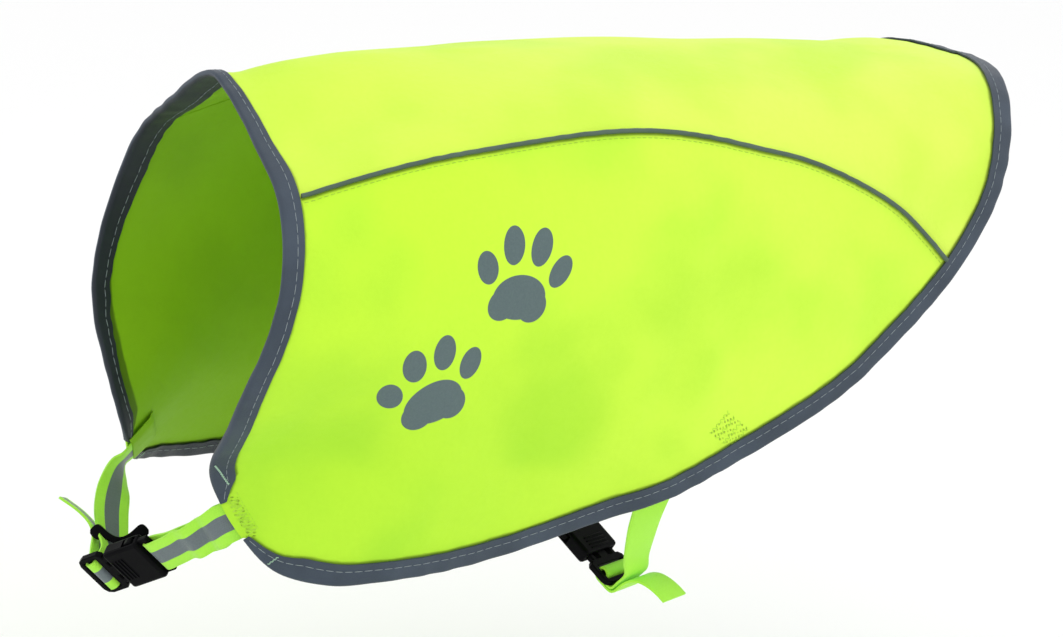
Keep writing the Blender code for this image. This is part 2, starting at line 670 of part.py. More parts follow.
def plug(name, buckle, look, group, cutters):
    """The half with two springy prongs, and a slider of two slots for the strap."""
    right = plug_outline()
    left = [(along, -across) for along, across in right[-2:0:-1]]
    flat = bmesh.new()
    face = flat.faces.new([flat.verts.new((along * MM, across * MM, -PLUG_HIGH / 2 * MM))
                           for along, across in (*right, *left)])
    raised = bmesh.ops.extrude_face_region(flat, geom=[face])["geom"]
    top = [item for item in raised if isinstance(item, bmesh.types.BMVert)]
    bmesh.ops.translate(flat, vec=(0, 0, PLUG_HIGH * MM), verts=top)
    bmesh.ops.recalc_face_normals(flat, faces=flat.faces)
    mesh = bpy.data.meshes.new(name)
    flat.to_mesh(mesh)
    flat.free()
    matrix = buckle.matrix()
    body = add(name, mesh, look, group)
    body.matrix_world = matrix
    near_end = BUCKLE_LENGTH - END_BAR
    near_centre = near_end - SLOT - CENTRE_BAR
    for part, end in (("outer_slot", near_end), ("inner_slot", near_centre)):
        slot = helper(f"{name}_{part}", (end - SLOT, -SLOT_HALF, -9), (end, SLOT_HALF, 9), matrix, cutters)
        combine(body, slot, "DIFFERENCE")
    soften(body, 0.5, 1)
    return body


# ---- the vest ----------------------------------------------------------------------
def build():
    clear_scene()
    vest = collection("dog_safety_vest")
    cutters = collection("cutters")
    back_cloth = finish("neon_back_cloth", (0.75, 0.97, 0.10), 0.7)
    side_cloth = finish("neon_side_cloth", (0.57, 0.93, 0.06), 0.7)
    grey_tape = finish("grey_reflective_tape", (0.08, 0.10, 0.11), 0.5)
    neon_webbing = finish("neon_webbing", (0.42, 0.85, 0.05), 0.6)
    black_plastic = finish("black_plastic", (0.012, 0.012, 0.014), 0.35)

    cut_piece("back_panel", back_outline(), back_cloth, vest)
    for word, side in (("left", -1), ("right", 1)):
        cut_piece(f"side_panel_{word}", mirrored(side_outline(), side), side_cloth, vest)
        piping(f"piping_{word}", side, grey_tape, vest)
    binding("neck_binding", stretch(-NECK_ENDS, NECK_ENDS), False, grey_tape, vest)
    hem_half = TAIL_CENTRE - HEM_STARTS
    binding("hem_binding", stretch(-hem_half, hem_half), True, grey_tape, vest)

    for word, spot, left_rows, right_rows, plug_is_left in (
            ("chest", CHEST_BUCKLE, chest_left_rows, chest_right_rows, False),
            ("belly", BELLY_BUCKLE, belly_left_rows, belly_right_rows, True)):
        buckle = Buckle(*spot)
        socket(f"{word}_buckle_socket", buckle, black_plastic, vest, cutters)
        plug(f"{word}_buckle_plug", buckle, black_plastic, vest, cutters)
        strap(f"{word}_strap_left", left_rows(buckle), neon_webbing, vest)
        strap(f"{word}_strap_right", right_rows(buckle), neon_webbing, vest)


build()
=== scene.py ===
import bmesh
import bpy
import numpy as np
from mathutils import Matrix, Vector


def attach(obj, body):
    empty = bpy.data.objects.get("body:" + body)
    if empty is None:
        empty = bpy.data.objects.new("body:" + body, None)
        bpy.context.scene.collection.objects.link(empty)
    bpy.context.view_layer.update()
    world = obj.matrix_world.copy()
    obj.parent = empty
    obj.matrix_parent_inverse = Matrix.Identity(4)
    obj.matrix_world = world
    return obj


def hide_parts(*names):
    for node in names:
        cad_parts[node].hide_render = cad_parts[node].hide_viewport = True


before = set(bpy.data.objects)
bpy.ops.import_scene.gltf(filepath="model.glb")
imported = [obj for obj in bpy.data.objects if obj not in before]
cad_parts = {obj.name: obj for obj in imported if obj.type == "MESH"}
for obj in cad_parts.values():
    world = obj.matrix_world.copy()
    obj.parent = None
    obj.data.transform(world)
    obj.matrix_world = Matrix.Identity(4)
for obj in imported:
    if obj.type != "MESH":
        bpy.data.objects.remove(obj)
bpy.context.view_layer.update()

MM = 0.001

# ---- sizes of the vest, in millimetres, as in the part's own source ----
PANEL_THICK = 1.2
BINDING_THICK = 0.9
BINDING_WIDTH = 12.0
SEAM_GAP = 0.3                 # between two panels, under the piping
COVER_GAP = 0.6                # between a panel and its binding
PIPING_RADIUS = 1.25
PIPING_CLEAR = 0.3             # between a panel's face and the piping
STRAP_WIDTH = 20.0
STRAP_THICK = 1.2
ORIGIN_STATION = 235.0
SPINE_ROUND = 5.0              # how softly the back turns over the spine

FALL_ARCS = (0, 40, 80, 120, 160, 200, 250, 275, 300, 340)
STATIONS = (
    # along, spine, fall at each of FALL_ARCS
    (-18, -13.6, (19, 22, 37, 61, 97, 121, 126, 91, 59, 52)),
    (20, 0.6, (19, 32, 26, 61, 83, 117, 113, 78, 70, 66)),
    (70, 7.7, (10, 27, 23, 58, 87, 103, 100, 85, 87, 83)),
    (150, 7.9, (5, 13, 30, 64, 88, 97, 98, 96, 93, 87)),
    (260, 6.8, (3, 11, 33, 66, 87, 94, 97, 97, 96, 97)),
    (330, 4.8, (3, 14, 35, 71, 86, 92, 96, 97, 98, 98)),
    (390, 1.7, (3, 13, 34, 79, 91, 92, 96, 97, 98, 98)),
    (430, -1.2, (0, 9, 43, 81, 94, 95, 98, 98, 98, 98)),
    (480, -9.4, (0, 10, 60, 90, 96, 98, 98, 98, 98, 98)),
)
# The neck edge turns outwards, most at the top: its rise, how far it runs straight and in all from
# the edge, and how far down the sides it reaches.
FLARE_RISE, FLARE_STRAIGHT, FLARE_LENGTH, FLARE_REACH = 6.2, 10.0, 19.0, 95.0
# The lower sides lean over to the right: by how many degrees on each side, from how far down, over
# what distance and at most how many times that, and how much of it is left towards the tail.
SWAY_DEGREES = {-1: 12, 1: 24}
SWAY_FROM, SWAY_OVER, SWAY_MOST = 215, 100, 1.3
SWAY_AT_TAIL = 0.3
SWAY_FADES_FROM, SWAY_FADES_OVER = 320, 200
FALL_STEPS = 40

FOLDS = (
    # along, down, runs (degrees off the spine's line), half length, half width, depth
    (257, 190, 84, 70, 13, 1.5),
    (228, 222, 98, 52, 12, 1.1),
    (62, 262, 28, 52, 17, 1.8),
    (120, 236, 62, 66, 20, 1.5),
    (22, 268, -20, 24, 9, 1.3),
    (203, 288, 72, 30, 17, 1.5),
    (338, 176, 58, 55, 14, 1.2),
    (186, 150, 20, 60, 18, 1.0),
)
# Finer creases that only the visible cloth has.
CREASES = (
    (243, 150, 86, 34, 5, 0.5), (268, 236, 76, 40, 5, 0.55), (216, 254, 104, 34, 4.5, 0.5),
    (88, 300, 20, 34, 6, 0.6), (40, 246, 50, 26, 5, 0.5), (150, 282, 80, 30, 6, 0.5),
    (300, 200, 62, 34, 5, 0.4), (352, 196, 50, 26, 5, 0.45), (14, 238, -64, 18, 3.4, 0.55),
    (20, 254, -38, 20, 3.2, 0.6), (28, 280, -8, 20, 3.2, 0.5), (24, 296, 12, 18, 3.4, 0.45),
    (120, 120, 8, 60, 8, 0.35), (330, 60, 30, 40, 9, 0.4), (420, 96, 60, 30, 7, 0.5),
    (60, 40, 6, 50, 9, 0.3), (200, 52, 12, 70, 10, 0.3), (392, 30, 70, 26, 8, 0.4),
    (255, 262, 30, 16, 4, 0.5), (290, 236, 40, 16, 4, 0.45),
)

NECK_EDGE = (
    # along, down
    (3.5, 0), (3.4, 28.5), (3.0, 59), (3.2, 86), (0.3, 112), (-4.4, 137.5), (-10.9, 160),
    (-17.5, 186), (-18.6, 221), (-15.2, 258.5),
)
CORNER_EDGE = ((-7.9, 277.5), (1.7, 297))
HEM_EDGE = (
    (13, 313), (40, 325.5), (66, 330), (105, 332), (148, 327.5), (190, 316), (234, 302.5),
    (261, 287.5), (300, 262.5), (339, 235), (377, 203), (402, 176.5), (426, 138), (444, 90),
    (457, 53), (467, 24), (470, 0),
)
SEAM_LINE = (
    (3.1, 96), (26, 98), (65, 99.5), (105, 98.6), (147, 96), (189, 94.6), (218, 95.5), (246, 98.9),
    (274, 105.2), (303, 110.7), (332, 120.4), (363, 136.9), (380, 150.7), (405.5, 172.5),
)
EDGE_INSET = 2.0
BARE_EDGE_INSET = 0.2
BINDING_LIFT = PANEL_THICK / 2 + COVER_GAP + BINDING_THICK / 2
PIPING_LIFT = PANEL_THICK / 2 + PIPING_CLEAR + PIPING_RADIUS
PIPING_ENDS = BINDING_WIDTH + 0.2

BOUND_LIFT = -3.0              # of a strap's sewn end, inside the panel
LAYER = 1.75                   # from one layer of doubled webbing to the next
CORNER_SEWN = 15.0             # how far a chest strap reaches in behind its corner
BUCKLE_LENGTH = 51.4
HOUSING_HIGH = 9.0

# ---- sizes of the finer things, in millimetres ----
CLOTH_CELL = 4.0
BAND_CELL = 3.0
STRAP_CELL = 1.6
CORD_CELL, CORD_SIDES = 2.5, 14
STITCH_INSET = 8.2             # of the binding's stitches, from its fold
STITCH_PITCH, STITCH_LENGTH = 5.6, 4.7
THREAD_RADIUS = 0.19
THREAD_FLATNESS = 0.75         # a thread's height, as a share of its width
SEAM_STITCH_OFFSET = 3.4       # of the stitches below each seam
SEAM_STITCH_PITCH, SEAM_STITCH_LENGTH, SEAM_THREAD_RADIUS = 3.4, 2.5, 0.2
CORNER_THREAD_RADIUS, TACK_THREAD_RADIUS = 0.17, 0.28
ON_CLOTH = PANEL_THICK / 2 + 0.12       # the height of threads on a panel
FOLD_INSET = 0.45                       # of a binding's fold, from the edge
BINDING_LOOSE = 0.12                    # how far a binding's free edges stand off and on
NECK_TAPER, HEM_TAPER = 13.0, 34.0      # how far from a corner the bindings are narrowed
NARROWEST = 0.26                        # share of its width at a binding's end
BARE_BORDER = -6.0                      # keeps a binding's shade off the bare corners
# The neck binding's outer half is taken up at the peak, and less so down to PEAK_REACH. Its inner half
# is wide at the top and loses width from INNER_FROM on. The inner edges are a little scalloped.
PEAK_SHARE, PEAK_GAIN, PEAK_REACH = 0.52, 0.42, 75
INNER_SHARE, INNER_LOSS, INNER_FROM, INNER_REACH = 1.3, 0.75, 130, 110
SCALLOP, SCALLOP_PITCH = 0.04, 13
# Unevenness of the visible cloth: its height in general, and its height, pitch and fading distance
# along the outer edge and along the seams.
SOFT_WAVE = 0.45
EDGE_RIPPLE, SEAM_RIPPLE = (0.32, 19, 16), (0.22, 11, 9)

# ---- the photograph's camera, worked out in the vest's own frame ----
CAMERA_PLACE = (-0.88509, -1.95465, 0.45666)
CAMERA_TURN, CAMERA_TILT, CAMERA_ROLL = 29.0, 15.0, 4.0
CAMERA_LENS = 144.35


# ---- curves and the form ----
def weights(knots, at):
    """How much each knot's value counts at the places 'at' on a smooth curve through them all."""
    knots = np.asarray(knots, float)
    at = np.asarray(at, float)
    count = len(knots)
    index = np.clip(np.searchsorted(knots, at, side="right") - 1, 0, count - 2)
    gap = knots[index + 1] - knots[index]
    t = np.clip((at - knots[index]) / gap, -1, 2)
    slope = np.zeros((count, count))
    for j in range(count):
        if 0 < j < count - 1:
            before = knots[j] - knots[j - 1]
            after = knots[j + 1] - knots[j]
            slope[j, j - 1] = -after / (before * (before + after))
            slope[j, j] = after / (before * (before + after)) - before / (after * (before + after))
            slope[j, j + 1] = before / (after * (before + after))
        else:
            low, high = max(j - 1, 0), min(j + 1, count - 1)
            slope[j, high] += 1 / (knots[high] - knots[low])
            slope[j, low] -= 1 / (knots[high] - knots[low])
    value = np.eye(count)
    t, gap = t[..., None], gap[..., None]
    inside = ((2 * t ** 3 - 3 * t ** 2 + 1) * value[index]
              + (3 * t ** 2 - 2 * t ** 3) * value[index + 1]
              + (t ** 3 - 2 * t ** 2 + t) * gap * slope[index]
              + (t ** 3 - t ** 2) * gap * slope[index + 1])
    below = value[index] + t * gap * slope[index]
    above = value[index + 1] + (t - 1) * gap * slope[index + 1]
    return np.where(t < 0, below, np.where(t > 1, above, inside))


def soft(share):
    """A share from 0 to 1, with a soft start and end."""
    return share ** 2 * (3 - 2 * share)


def turned(x, y, degrees):
    """The same place, or the same values of a material, on axes turned by an angle."""
    c, s = np.cos(np.radians(degrees)), np.sin(np.radians(degrees))
    return x * c + y * s, y * c - x * s


def lengths(points):
    steps = np.linalg.norm(np.diff(points, axis=0), axis=-1)
    return np.concatenate(([0], np.cumsum(steps)))


ALONG = [row[0] for row in STATIONS]
SPINE = np.array([row[1] for row in STATIONS], float)
FALL = np.array([row[2] for row in STATIONS], float)


def sway(along, down, side):
    reach = np.clip((down - SWAY_FROM) / SWAY_OVER, 0, SWAY_MOST)
    ahead = soft(np.clip((SWAY_FADES_FROM - along) / SWAY_FADES_OVER, 0, 1))
    degrees = np.where(side < 0, -SWAY_DEGREES[-1], SWAY_DEGREES[1])
    return degrees * reach * (SWAY_AT_TAIL + (1 - SWAY_AT_TAIL) * ahead)


def form(along, across):
    """A point of the worn form; 'across' is the distance down the cloth, negative on the left."""
    side = np.where(across < 0, -1, 1)
    down = np.abs(across)
    at_station = weights(ALONG, along)
    falls = at_station @ FALL
    steps = (np.arange(FALL_STEPS) + 0.5) / FALL_STEPS
    way = down[..., None] * steps
    degrees = np.einsum("...a,...sa->...s", falls, weights(FALL_ARCS, way))
    degrees = degrees * way / np.sqrt(way ** 2 + SPINE_ROUND ** 2)
    degrees = degrees - sway(along[..., None], way, side[..., None])
    out = np.cos(np.radians(degrees)).mean(-1) * down
    drop = np.sin(np.radians(degrees)).mean(-1) * down
    return np.stack([along, side * out, at_station @ SPINE - drop], -1)


def width_share(from_end, taper):
    """How much of its width a binding has at this distance from its end."""
    return np.clip(NARROWEST + (1 - NARROWEST) * from_end / taper, NARROWEST, 1)


def peak_share(way):
    """The neck binding's outer half is taken up more at the peak of the neck."""
    return PEAK_SHARE + PEAK_GAIN * np.clip(way / PEAK_REACH, 0, 1)


def binding_border(rim_way):
    """How far in the binding's border lies, at places along the half edge; nothing at the corner."""
    neck = width_share(NECK_ENDS - rim_way, NECK_TAPER) * peak_share(rim_way)
    hem = width_share(rim_way - HEM_STARTS, HEM_TAPER)
    width = np.where(rim_way < NECK_ENDS, neck, hem) * BINDING_WIDTH
    return np.where((rim_way > NECK_ENDS) & (rim_way < HEM_STARTS), BARE_BORDER, width)


def troughs(along, down, table):
    depth = np.zeros_like(down)
    for at, below, runs, half_length, half_width, deep in table:
        lengthwise, sideways = turned(along - at, down - below, runs)
        depth += deep * np.exp(-(lengthwise / half_length) ** 2 - (sideways / half_width) ** 2)
    return depth


def rim_distance(along, down, line):
    """Each point's distance to a line of the pattern, and how far along the line that is."""
    points = np.stack([along, down], -1).reshape(-1, 2)
    ways = lengths(line)
    near = np.empty(len(points))
    way = np.empty(len(points))
    for start in range(0, len(points), 4000):
        part = points[start:start + 4000]
        gaps = np.linalg.norm(part[:, None] - line[None], axis=-1)
        nearest = gaps.argmin(1)
        near[start:start + 4000] = gaps[np.arange(len(part)), nearest]
        way[start:start + 4000] = ways[nearest]
    return near.reshape(np.shape(along)), way.reshape(np.shape(along))


def uneven_wave(way, pitch):
    """A wave along an edge that never quite repeats."""
    turn = 2 * np.pi * way / pitch
    return np.sin(turn + 1.3 * np.sin(turn * 0.23)) * (0.6 + 0.4 * np.sin(turn * 0.137 + 1))


def relief(along, across):
    """How far the visible cloth stands off the plain form."""
    down = np.abs(across)
    sidedness = np.where(across < 0, 0.0, 2.0)
    height = -troughs(along, down, FOLDS) - troughs(along, down, CREASES)
    height = height + SOFT_WAVE * (np.sin(along / 17 + down / 41 + sidedness)
                                   * np.sin(down / 23 - along / 90))
    for line, shift, (rise, pitch, fade) in ((RIM_LINE, 40 * sidedness, EDGE_RIPPLE),
                                             (JOIN_LINE, 0, SEAM_RIPPLE)):
        distance, way = rim_distance(along, down, line)
        height = height + rise * uneven_wave(way + shift, pitch) * np.exp(-(distance / fade) ** 2)
    return height


def flare(along, across):
    """How far the cloth near the neck edge stands off the plain form."""
    down = np.abs(across)
    neck = np.array(NECK_EDGE + CORNER_EDGE)
    left = np.clip(FLARE_LENGTH - along + np.interp(down, neck[:, 1], neck[:, 0]), 0, FLARE_LENGTH)
    bend = FLARE_LENGTH - FLARE_STRAIGHT
    rise = np.where(left < bend, left ** 2 / (2 * bend), left - bend / 2) / (FLARE_LENGTH - bend / 2)
    return FLARE_RISE * rise * np.exp(-(down / FLARE_REACH) ** 2)


def lay(pattern, lift=0.0):
    """Lay points of the flat pattern on the worn form, 'lift' above the middle of the cloth."""
    along, across = pattern[..., 0], pattern[..., 1]
    near = 0.5
    ahead = form(along + near, across) - form(along - near, across)
    sideways = form(along, across + near) - form(along, across - near)
    outward = np.cross(ahead, sideways)
    outward /= np.linalg.norm(outward, axis=-1, keepdims=True)
    height = lift + flare(along, across) + relief(along, across)
    return form(along, across) + outward * np.asarray(height)[..., None]


def origin_point():
    """The part's origin: inside the back panel, under the spine, without the finer relief."""
    spot, near = np.array([ORIGIN_STATION, 0.0]), 0.5
    ahead = form(spot[0] + near, spot[1]) - form(spot[0] - near, spot[1])
    outward = np.cross(ahead, (0, 1, 0))
    outward /= np.linalg.norm(outward)
    depth = PANEL_THICK / 2 + troughs(spot[0], spot[1], FOLDS)
    return form(spot[0], spot[1]) - outward * depth


def place(points):
    return (np.asarray(points) - ORIGIN) * MM


# ---- the outline ----
HALF_EDGE = np.array(NECK_EDGE + CORNER_EDGE + HEM_EDGE, float)
MIRRORED = HALF_EDGE * (1, -1)
EDGE_ROWS = np.concatenate((MIRRORED[1:2], HALF_EDGE, MIRRORED[-2:-1]))
EDGE_KNOTS = lengths(EDGE_ROWS) - lengths(EDGE_ROWS)[1]
TAIL_CENTRE = EDGE_KNOTS[-2]
NECK_ENDS = EDGE_KNOTS[1 + len(NECK_EDGE)]
HEM_STARTS = EDGE_KNOTS[2 + len(NECK_EDGE)]
SEAM_ROWS = np.array(SEAM_LINE, float)
SEAM_KNOTS = lengths(SEAM_ROWS)


def beside(knots, rows, way, inset):
    """A smooth line of the pattern at places along it, moved to the right of its run."""
    near = 0.25
    tangent = weights(knots, way + near) @ rows - weights(knots, way - near) @ rows
    tangent /= np.linalg.norm(tangent, axis=-1, keepdims=True)
    inward = np.stack([tangent[..., 1], -tangent[..., 0]], -1)
    return weights(knots, way) @ rows + inward * np.asarray(inset)[..., None]


def edge(way, inset=0.0):
    """The right half of the outer edge, 'way' along it from the neck's peak, moved inwards."""
    return beside(EDGE_KNOTS, EDGE_ROWS, way, inset)


def seam(way, offset=0.0):
    """The right seam, 'way' along it from the neck edge; a positive offset moves it to the hem."""
    return beside(SEAM_KNOTS, SEAM_ROWS, way, -np.asarray(offset))


def stretch(start, end, step):
    """Evenly spaced places from start to end, no further apart than step."""
    return np.linspace(start, end, int(np.ceil(abs(end - start) / step)) + 1)


RIM_LINE = edge(np.linspace(0, TAIL_CENTRE, 700))
JOIN_LINE = seam(np.linspace(0, SEAM_KNOTS[-1], 300))
ORIGIN = origin_point()


def edge_way_nearest(point, start, end):
    ways = np.linspace(start, end, 4001)
    return ways[np.linalg.norm(edge(ways) - point, axis=-1).argmin()]


SEAM_AT_NECK = edge_way_nearest(SEAM_ROWS[0], 0, NECK_ENDS)
SEAM_AT_HEM = edge_way_nearest(SEAM_ROWS[-1], HEM_STARTS, TAIL_CENTRE)


def seam_between(start_gap, end_gap, step):
    """Places along the seam that keep these distances from the outer edge at its two ends."""
    ways = np.linspace(0, SEAM_KNOTS[-1], 800)
    clear = np.linalg.norm(seam(ways)[:, None] - RIM_LINE[None], axis=-1).min(1)
    half = len(ways) // 2
    start = ways[:half][clear[:half] >= start_gap][0]
    end = ways[half:][clear[half:] >= end_gap][-1]
    return stretch(start, end, step)


def side_outline():
    bare_from, bare_to = NECK_ENDS + 0.7, HEM_STARTS - 0.7
    rim = np.concatenate((
        edge(stretch(SEAM_AT_NECK + SEAM_GAP / 2, NECK_ENDS + 0.4, CLOTH_CELL), EDGE_INSET),
        edge(stretch(bare_from, bare_to, CLOTH_CELL), BARE_EDGE_INSET),
        edge(stretch(HEM_STARTS - 0.4, SEAM_AT_HEM - SEAM_GAP / 2, CLOTH_CELL), EDGE_INSET),
    ))
    join = seam(seam_between(4, 4, CLOTH_CELL), SEAM_GAP / 2)
    return np.concatenate((join, rim[::-1]))


def back_outline():
    half_neck = edge(stretch(0, SEAM_AT_NECK - SEAM_GAP / 2, CLOTH_CELL), EDGE_INSET)
    half_tail = edge(stretch(SEAM_AT_HEM + SEAM_GAP / 2, TAIL_CENTRE, CLOTH_CELL), EDGE_INSET)
    join = seam(seam_between(4, 4, CLOTH_CELL), -SEAM_GAP / 2)
    right = np.concatenate((half_neck, join, half_tail))
    left = right[1:-1] * (1, -1)
    return np.concatenate((right[::-1], left))


def mirrored(points, side):
    return points if side > 0 else points[::-1] * (1, -1)


# ---- shader expressions ----
class Sum:
    """A value in a material that takes part in sums: each sum adds its Math node."""

    def __init__(self, looks, socket):
        self.looks, self.socket = looks, socket

    def math(self, operation, *values):
        sockets = {f"_{number}": value for number, value in enumerate(values)}
        return self.looks.node("Math", {"operation": operation}, **sockets)

    def __add__(self, other): return self.math("ADD", self, other)
    def __radd__(self, other): return self.math("ADD", other, self)
    def __sub__(self, other): return self.math("SUBTRACT", self, other)
    def __rsub__(self, other): return self.math("SUBTRACT", other, self)
    def __mul__(self, other): return self.math("MULTIPLY", self, other)
    def __rmul__(self, other): return self.math("MULTIPLY", other, self)
    def __truediv__(self, other): return self.math("DIVIDE", self, other)
    def __rtruediv__(self, other): return self.math("DIVIDE", other, self)
    def sine(self): return self.math("SINE", self)
    def size(self): return self.math("ABSOLUTE", self)
    def most(self, other): return self.math("MAXIMUM", self, other)
    def least(self, other): return self.math("MINIMUM", self, other)
    def root(self): return self.math("SQRT", self)


class Looks:
    """One material and its nodes. Settings of its shader are given with _ for each space."""

    def __init__(self, name, **settings):
        self.material = bpy.data.materials.new(name)
        self.material.use_nodes = True
        self.tree = self.material.node_tree
        self.shader = self.tree.nodes["Principled BSDF"]
        for socket, value in settings.items():
            self.put(self.shader.inputs[socket.replace("_", " ")], value)

    def put(self, socket, value):
        if isinstance(value, Sum):
            self.tree.links.new(value.socket, socket)
        else:
            socket.default_value = value

    def node(self, kind, settings=None, output=0, **inputs):
        """A node with its settings, and with values or links for its sockets, by name or as _number."""
        node = self.tree.nodes.new("ShaderNode" + kind)
        for key, value in (settings or {}).items():
            setattr(node, key, value)
        for key, value in inputs.items():
            name = key.replace("_", " ")
            self.put(node.inputs[name] if name in node.inputs else node.inputs[int(key[1:])], value)
        return Sum(self, node.outputs[output])

    def pattern(self):
        """The place on the piece's own flat pattern, in metres: along it and across it."""
        place_on_cloth = self.node("UVMap", {"uv_map": "pattern"})
        return [self.node("SeparateXYZ", output=axis, Vector=place_on_cloth) for axis in (0, 1)]

    def distance(self, word):
        """A distance that the piece keeps at its vertices, in millimetres."""
        return self.node("Attribute", {"attribute_name": word}, output=2)

    def noise(self, size, detail=3.0, rough=0.5):
        return self.node("TexNoise", Vector=self.node("TexCoord", output=3), Scale=1 / size,
                         Detail=detail, Roughness=rough)

    def step(self, value, low, high):
        """0 below low and 1 above high, with a soft run between."""
        return self.node("MapRange", {"interpolation_type": "SMOOTHSTEP", "clamp": True},
                         Value=value, From_Min=low, From_Max=high)

    def blend(self, factor, first, second):
        return self.node("Mix", {"data_type": "RGBA"}, output=2, _0=factor, _6=first, _7=second)

    def finish(self, tint, rough=None, bumps=(), glow=None):
        normal = None
        for height, distance in bumps:
            below = {"Normal": normal} if normal else {}
            normal = self.node("Bump", Height=height, Distance=distance, **below)
        for socket, value in (("Base Color", tint), ("Roughness", rough), ("Emission Color", glow),
                              ("Normal", normal)):
            if value is not None:
                self.put(self.shader.inputs[socket], value)
        return self.material


def colour(red, green, blue):
    """A colour given as it is seen, on a scale to 255."""
    seen = np.array([red, green, blue]) / 255
    return (*np.where(seen <= 0.04045, seen / 12.92, ((seen + 0.055) / 1.055) ** 2.4).tolist(), 1.0)


def darker(tint, share):
    return (*(share * part for part in tint[:3]), 1.0)


NO_GLOW = (0.0, 0.0, 0.0, 1.0)

# The reflective print on each side: two paw prints in a walking step, in the pattern's millimetres.
# Each pad: along, down from the print's middle, half length, half width, turn.
PAW_PADS = (
    (0, 8, 15, 11.5, 0), (-8.5, 12, 8, 8.5, 0), (8.5, 12, 8, 8.5, 0),
    (-21, -6, 5.6, 8.6, -24), (-8, -17.5, 6.0, 9.6, -7), (8, -17.5, 6.0, 9.6, 7), (21, -6, 5.6, 8.6, 24),
)
PAW_PRINTS = (
    # along, down, size, turn
    (84, 222, 1.05, -14), (128, 168, 1.05, 8),
)


def paw_mask(looks, along, across):
    """1 on the printed paws."""
    down = across.size() / MM
    ahead = along / MM
    nearest = None
    for at, below, scale, turn in PAW_PRINTS:
        for pad_along, pad_down, half_length, half_width, pad_turn in PAW_PADS:
            x, y = turned(pad_along, pad_down, -turn)
            across_pad, along_pad = turned(ahead - (at + scale * x), down - (below + scale * y),
                                           turn + pad_turn)
            across_pad, along_pad = across_pad / (half_length * scale), along_pad / (half_width * scale)
            reach = (across_pad * across_pad + along_pad * along_pad).root()
            nearest = reach if nearest is None else nearest.least(reach)
    return 1 - looks.step(nearest, 0.985, 1.015)


# Where threads go through the cloth: along, down, turn, half length, half width.
NEEDLE_BOXES = ((1.8, 284.8, 63.8, 12.0, 2.6), (266.0, 260.5, -56, 8.0, 8.6))


def needle_holes(looks, along, across):
    """1 in the small holes that the corner's and the belly strap's stitches draw in the cloth."""
    down, ahead = across.size() / MM, along / MM
    holes = 0
    for at, below, turn, half_length, half_width in NEEDLE_BOXES:
        lengthwise, sideways = turned(ahead - at, down - below, turn)
        inside = ((1 - looks.step(lengthwise.size(), half_length - 0.4, half_length + 0.2))
                  * (1 - looks.step(sideways.size(), half_width - 0.4, half_width + 0.2)))
        dots = ((lengthwise * (2 * np.pi / 3.1)).sine()
                * (sideways * (2 * np.pi / 3.7) + lengthwise * 0.9).sine())
        holes = holes + inside * looks.step(dots, 0.2, 0.8)
    return holes * looks.step(looks.noise(0.004, 2), 0.35, 0.6)


def cloth(name, front, rear, deep, glow, printed=False, bordered=True, sheen=0.08):
    """Neon cloth: painted shade low down at the front, painted light towards the tail, with cloudy
    shading.
    """
    looks = Looks(name, Sheen_Weight=sheen, Sheen_Roughness=0.5, Specular_IOR_Level=0.25,
                  Emission_Strength=glow)
    along, across = looks.pattern()
    cloudy = looks.noise(0.085, 2)
    fibre = looks.noise(0.0035, 4, rough=0.7)
    shade = looks.step(cloudy, 0.38, 0.66)
    # painted light: the cloth turns lighter towards the tail, where more light falls, and painted shade
    # darkens it low down at the front, which faces away from the light
    lit = looks.blend(looks.step(along, 0.05, 0.30), front, rear)
    low = looks.step(across.size(), 0.14, 0.31) * (1 - looks.step(along, 0.08, 0.30))
    tint = looks.blend((shade * 0.5 + fibre * 0.2 + low * 0.55).least(1.0), lit, deep)
    threads = 2 * np.pi / 0.00075
    weave = (along * threads).sine() * (across * threads).sine()
    uneven = looks.noise(0.012, 2)
    if bordered:
        shadow = 1 - looks.step(looks.distance("border"), 0.1, 0.5 + uneven * 2.6)
    else:
        shadow = looks.step(uneven, 0.7, 1.0)
    if printed:
        holes = needle_holes(looks, along, across)
        # painted shadow beside the piping's seam and painted shade in the needle holes, added to the
        # painted shadow by the binding's border
        beside_join = 1 - looks.step(looks.distance("join"), 1.2, 2.6)
        shadow = shadow.most(beside_join * 0.8).most(holes * 0.75)
    tint = looks.blend(shadow * 0.8, tint, darker(deep, 0.28))
    bumps = [(looks.noise(0.03, 3, rough=0.6), 0.0012), (fibre, 0.00025), (weave, 0.00003)]
    rough = 0.58 + fibre * 0.12
    if printed:
        mask = paw_mask(looks, along, across)
        speck = looks.noise(0.0012, 3, rough=0.8)
        grey = looks.blend(speck, colour(78, 96, 98), colour(98, 116, 116))
        tint = looks.blend(mask, tint, grey)
        rough = rough - mask * 0.2
        bumps += [(mask, 0.00012), (holes, -0.0004)]
        return looks.finish(tint, rough, bumps, looks.blend(mask, tint, NO_GLOW))
    return looks.finish(tint, rough, bumps, tint)


def reflective_tape(name, base, worn, inner=0.0):
    """Grey tape with fine glass beads; 'inner' is how much painted shade darkens its half inside the
    vest.
    """
    looks = Looks(name, Metallic=0.2, Specular_IOR_Level=0.35, Sheen_Weight=0.06)
    beads = looks.noise(0.0009, 2, rough=0.8)
    patchy = looks.noise(0.03, 3)
    tint = looks.blend(looks.step(patchy, 0.3, 0.75) * 0.6 + beads * 0.3, base, worn)
    along, across = looks.pattern()
    # painted shade on the tape's half inside the vest
    if inner:
        tint = looks.blend(looks.step(across, -0.0006, 0.0012) * inner, tint, darker(base, 0.3))
    threads = 2 * np.pi / 0.0006
    weave = (along * threads).sine() * (across * threads).sine()
    return looks.finish(tint, 0.42 + patchy * 0.2, [(patchy, 0.0006), (beads, 0.0001), (weave, 0.00002)])


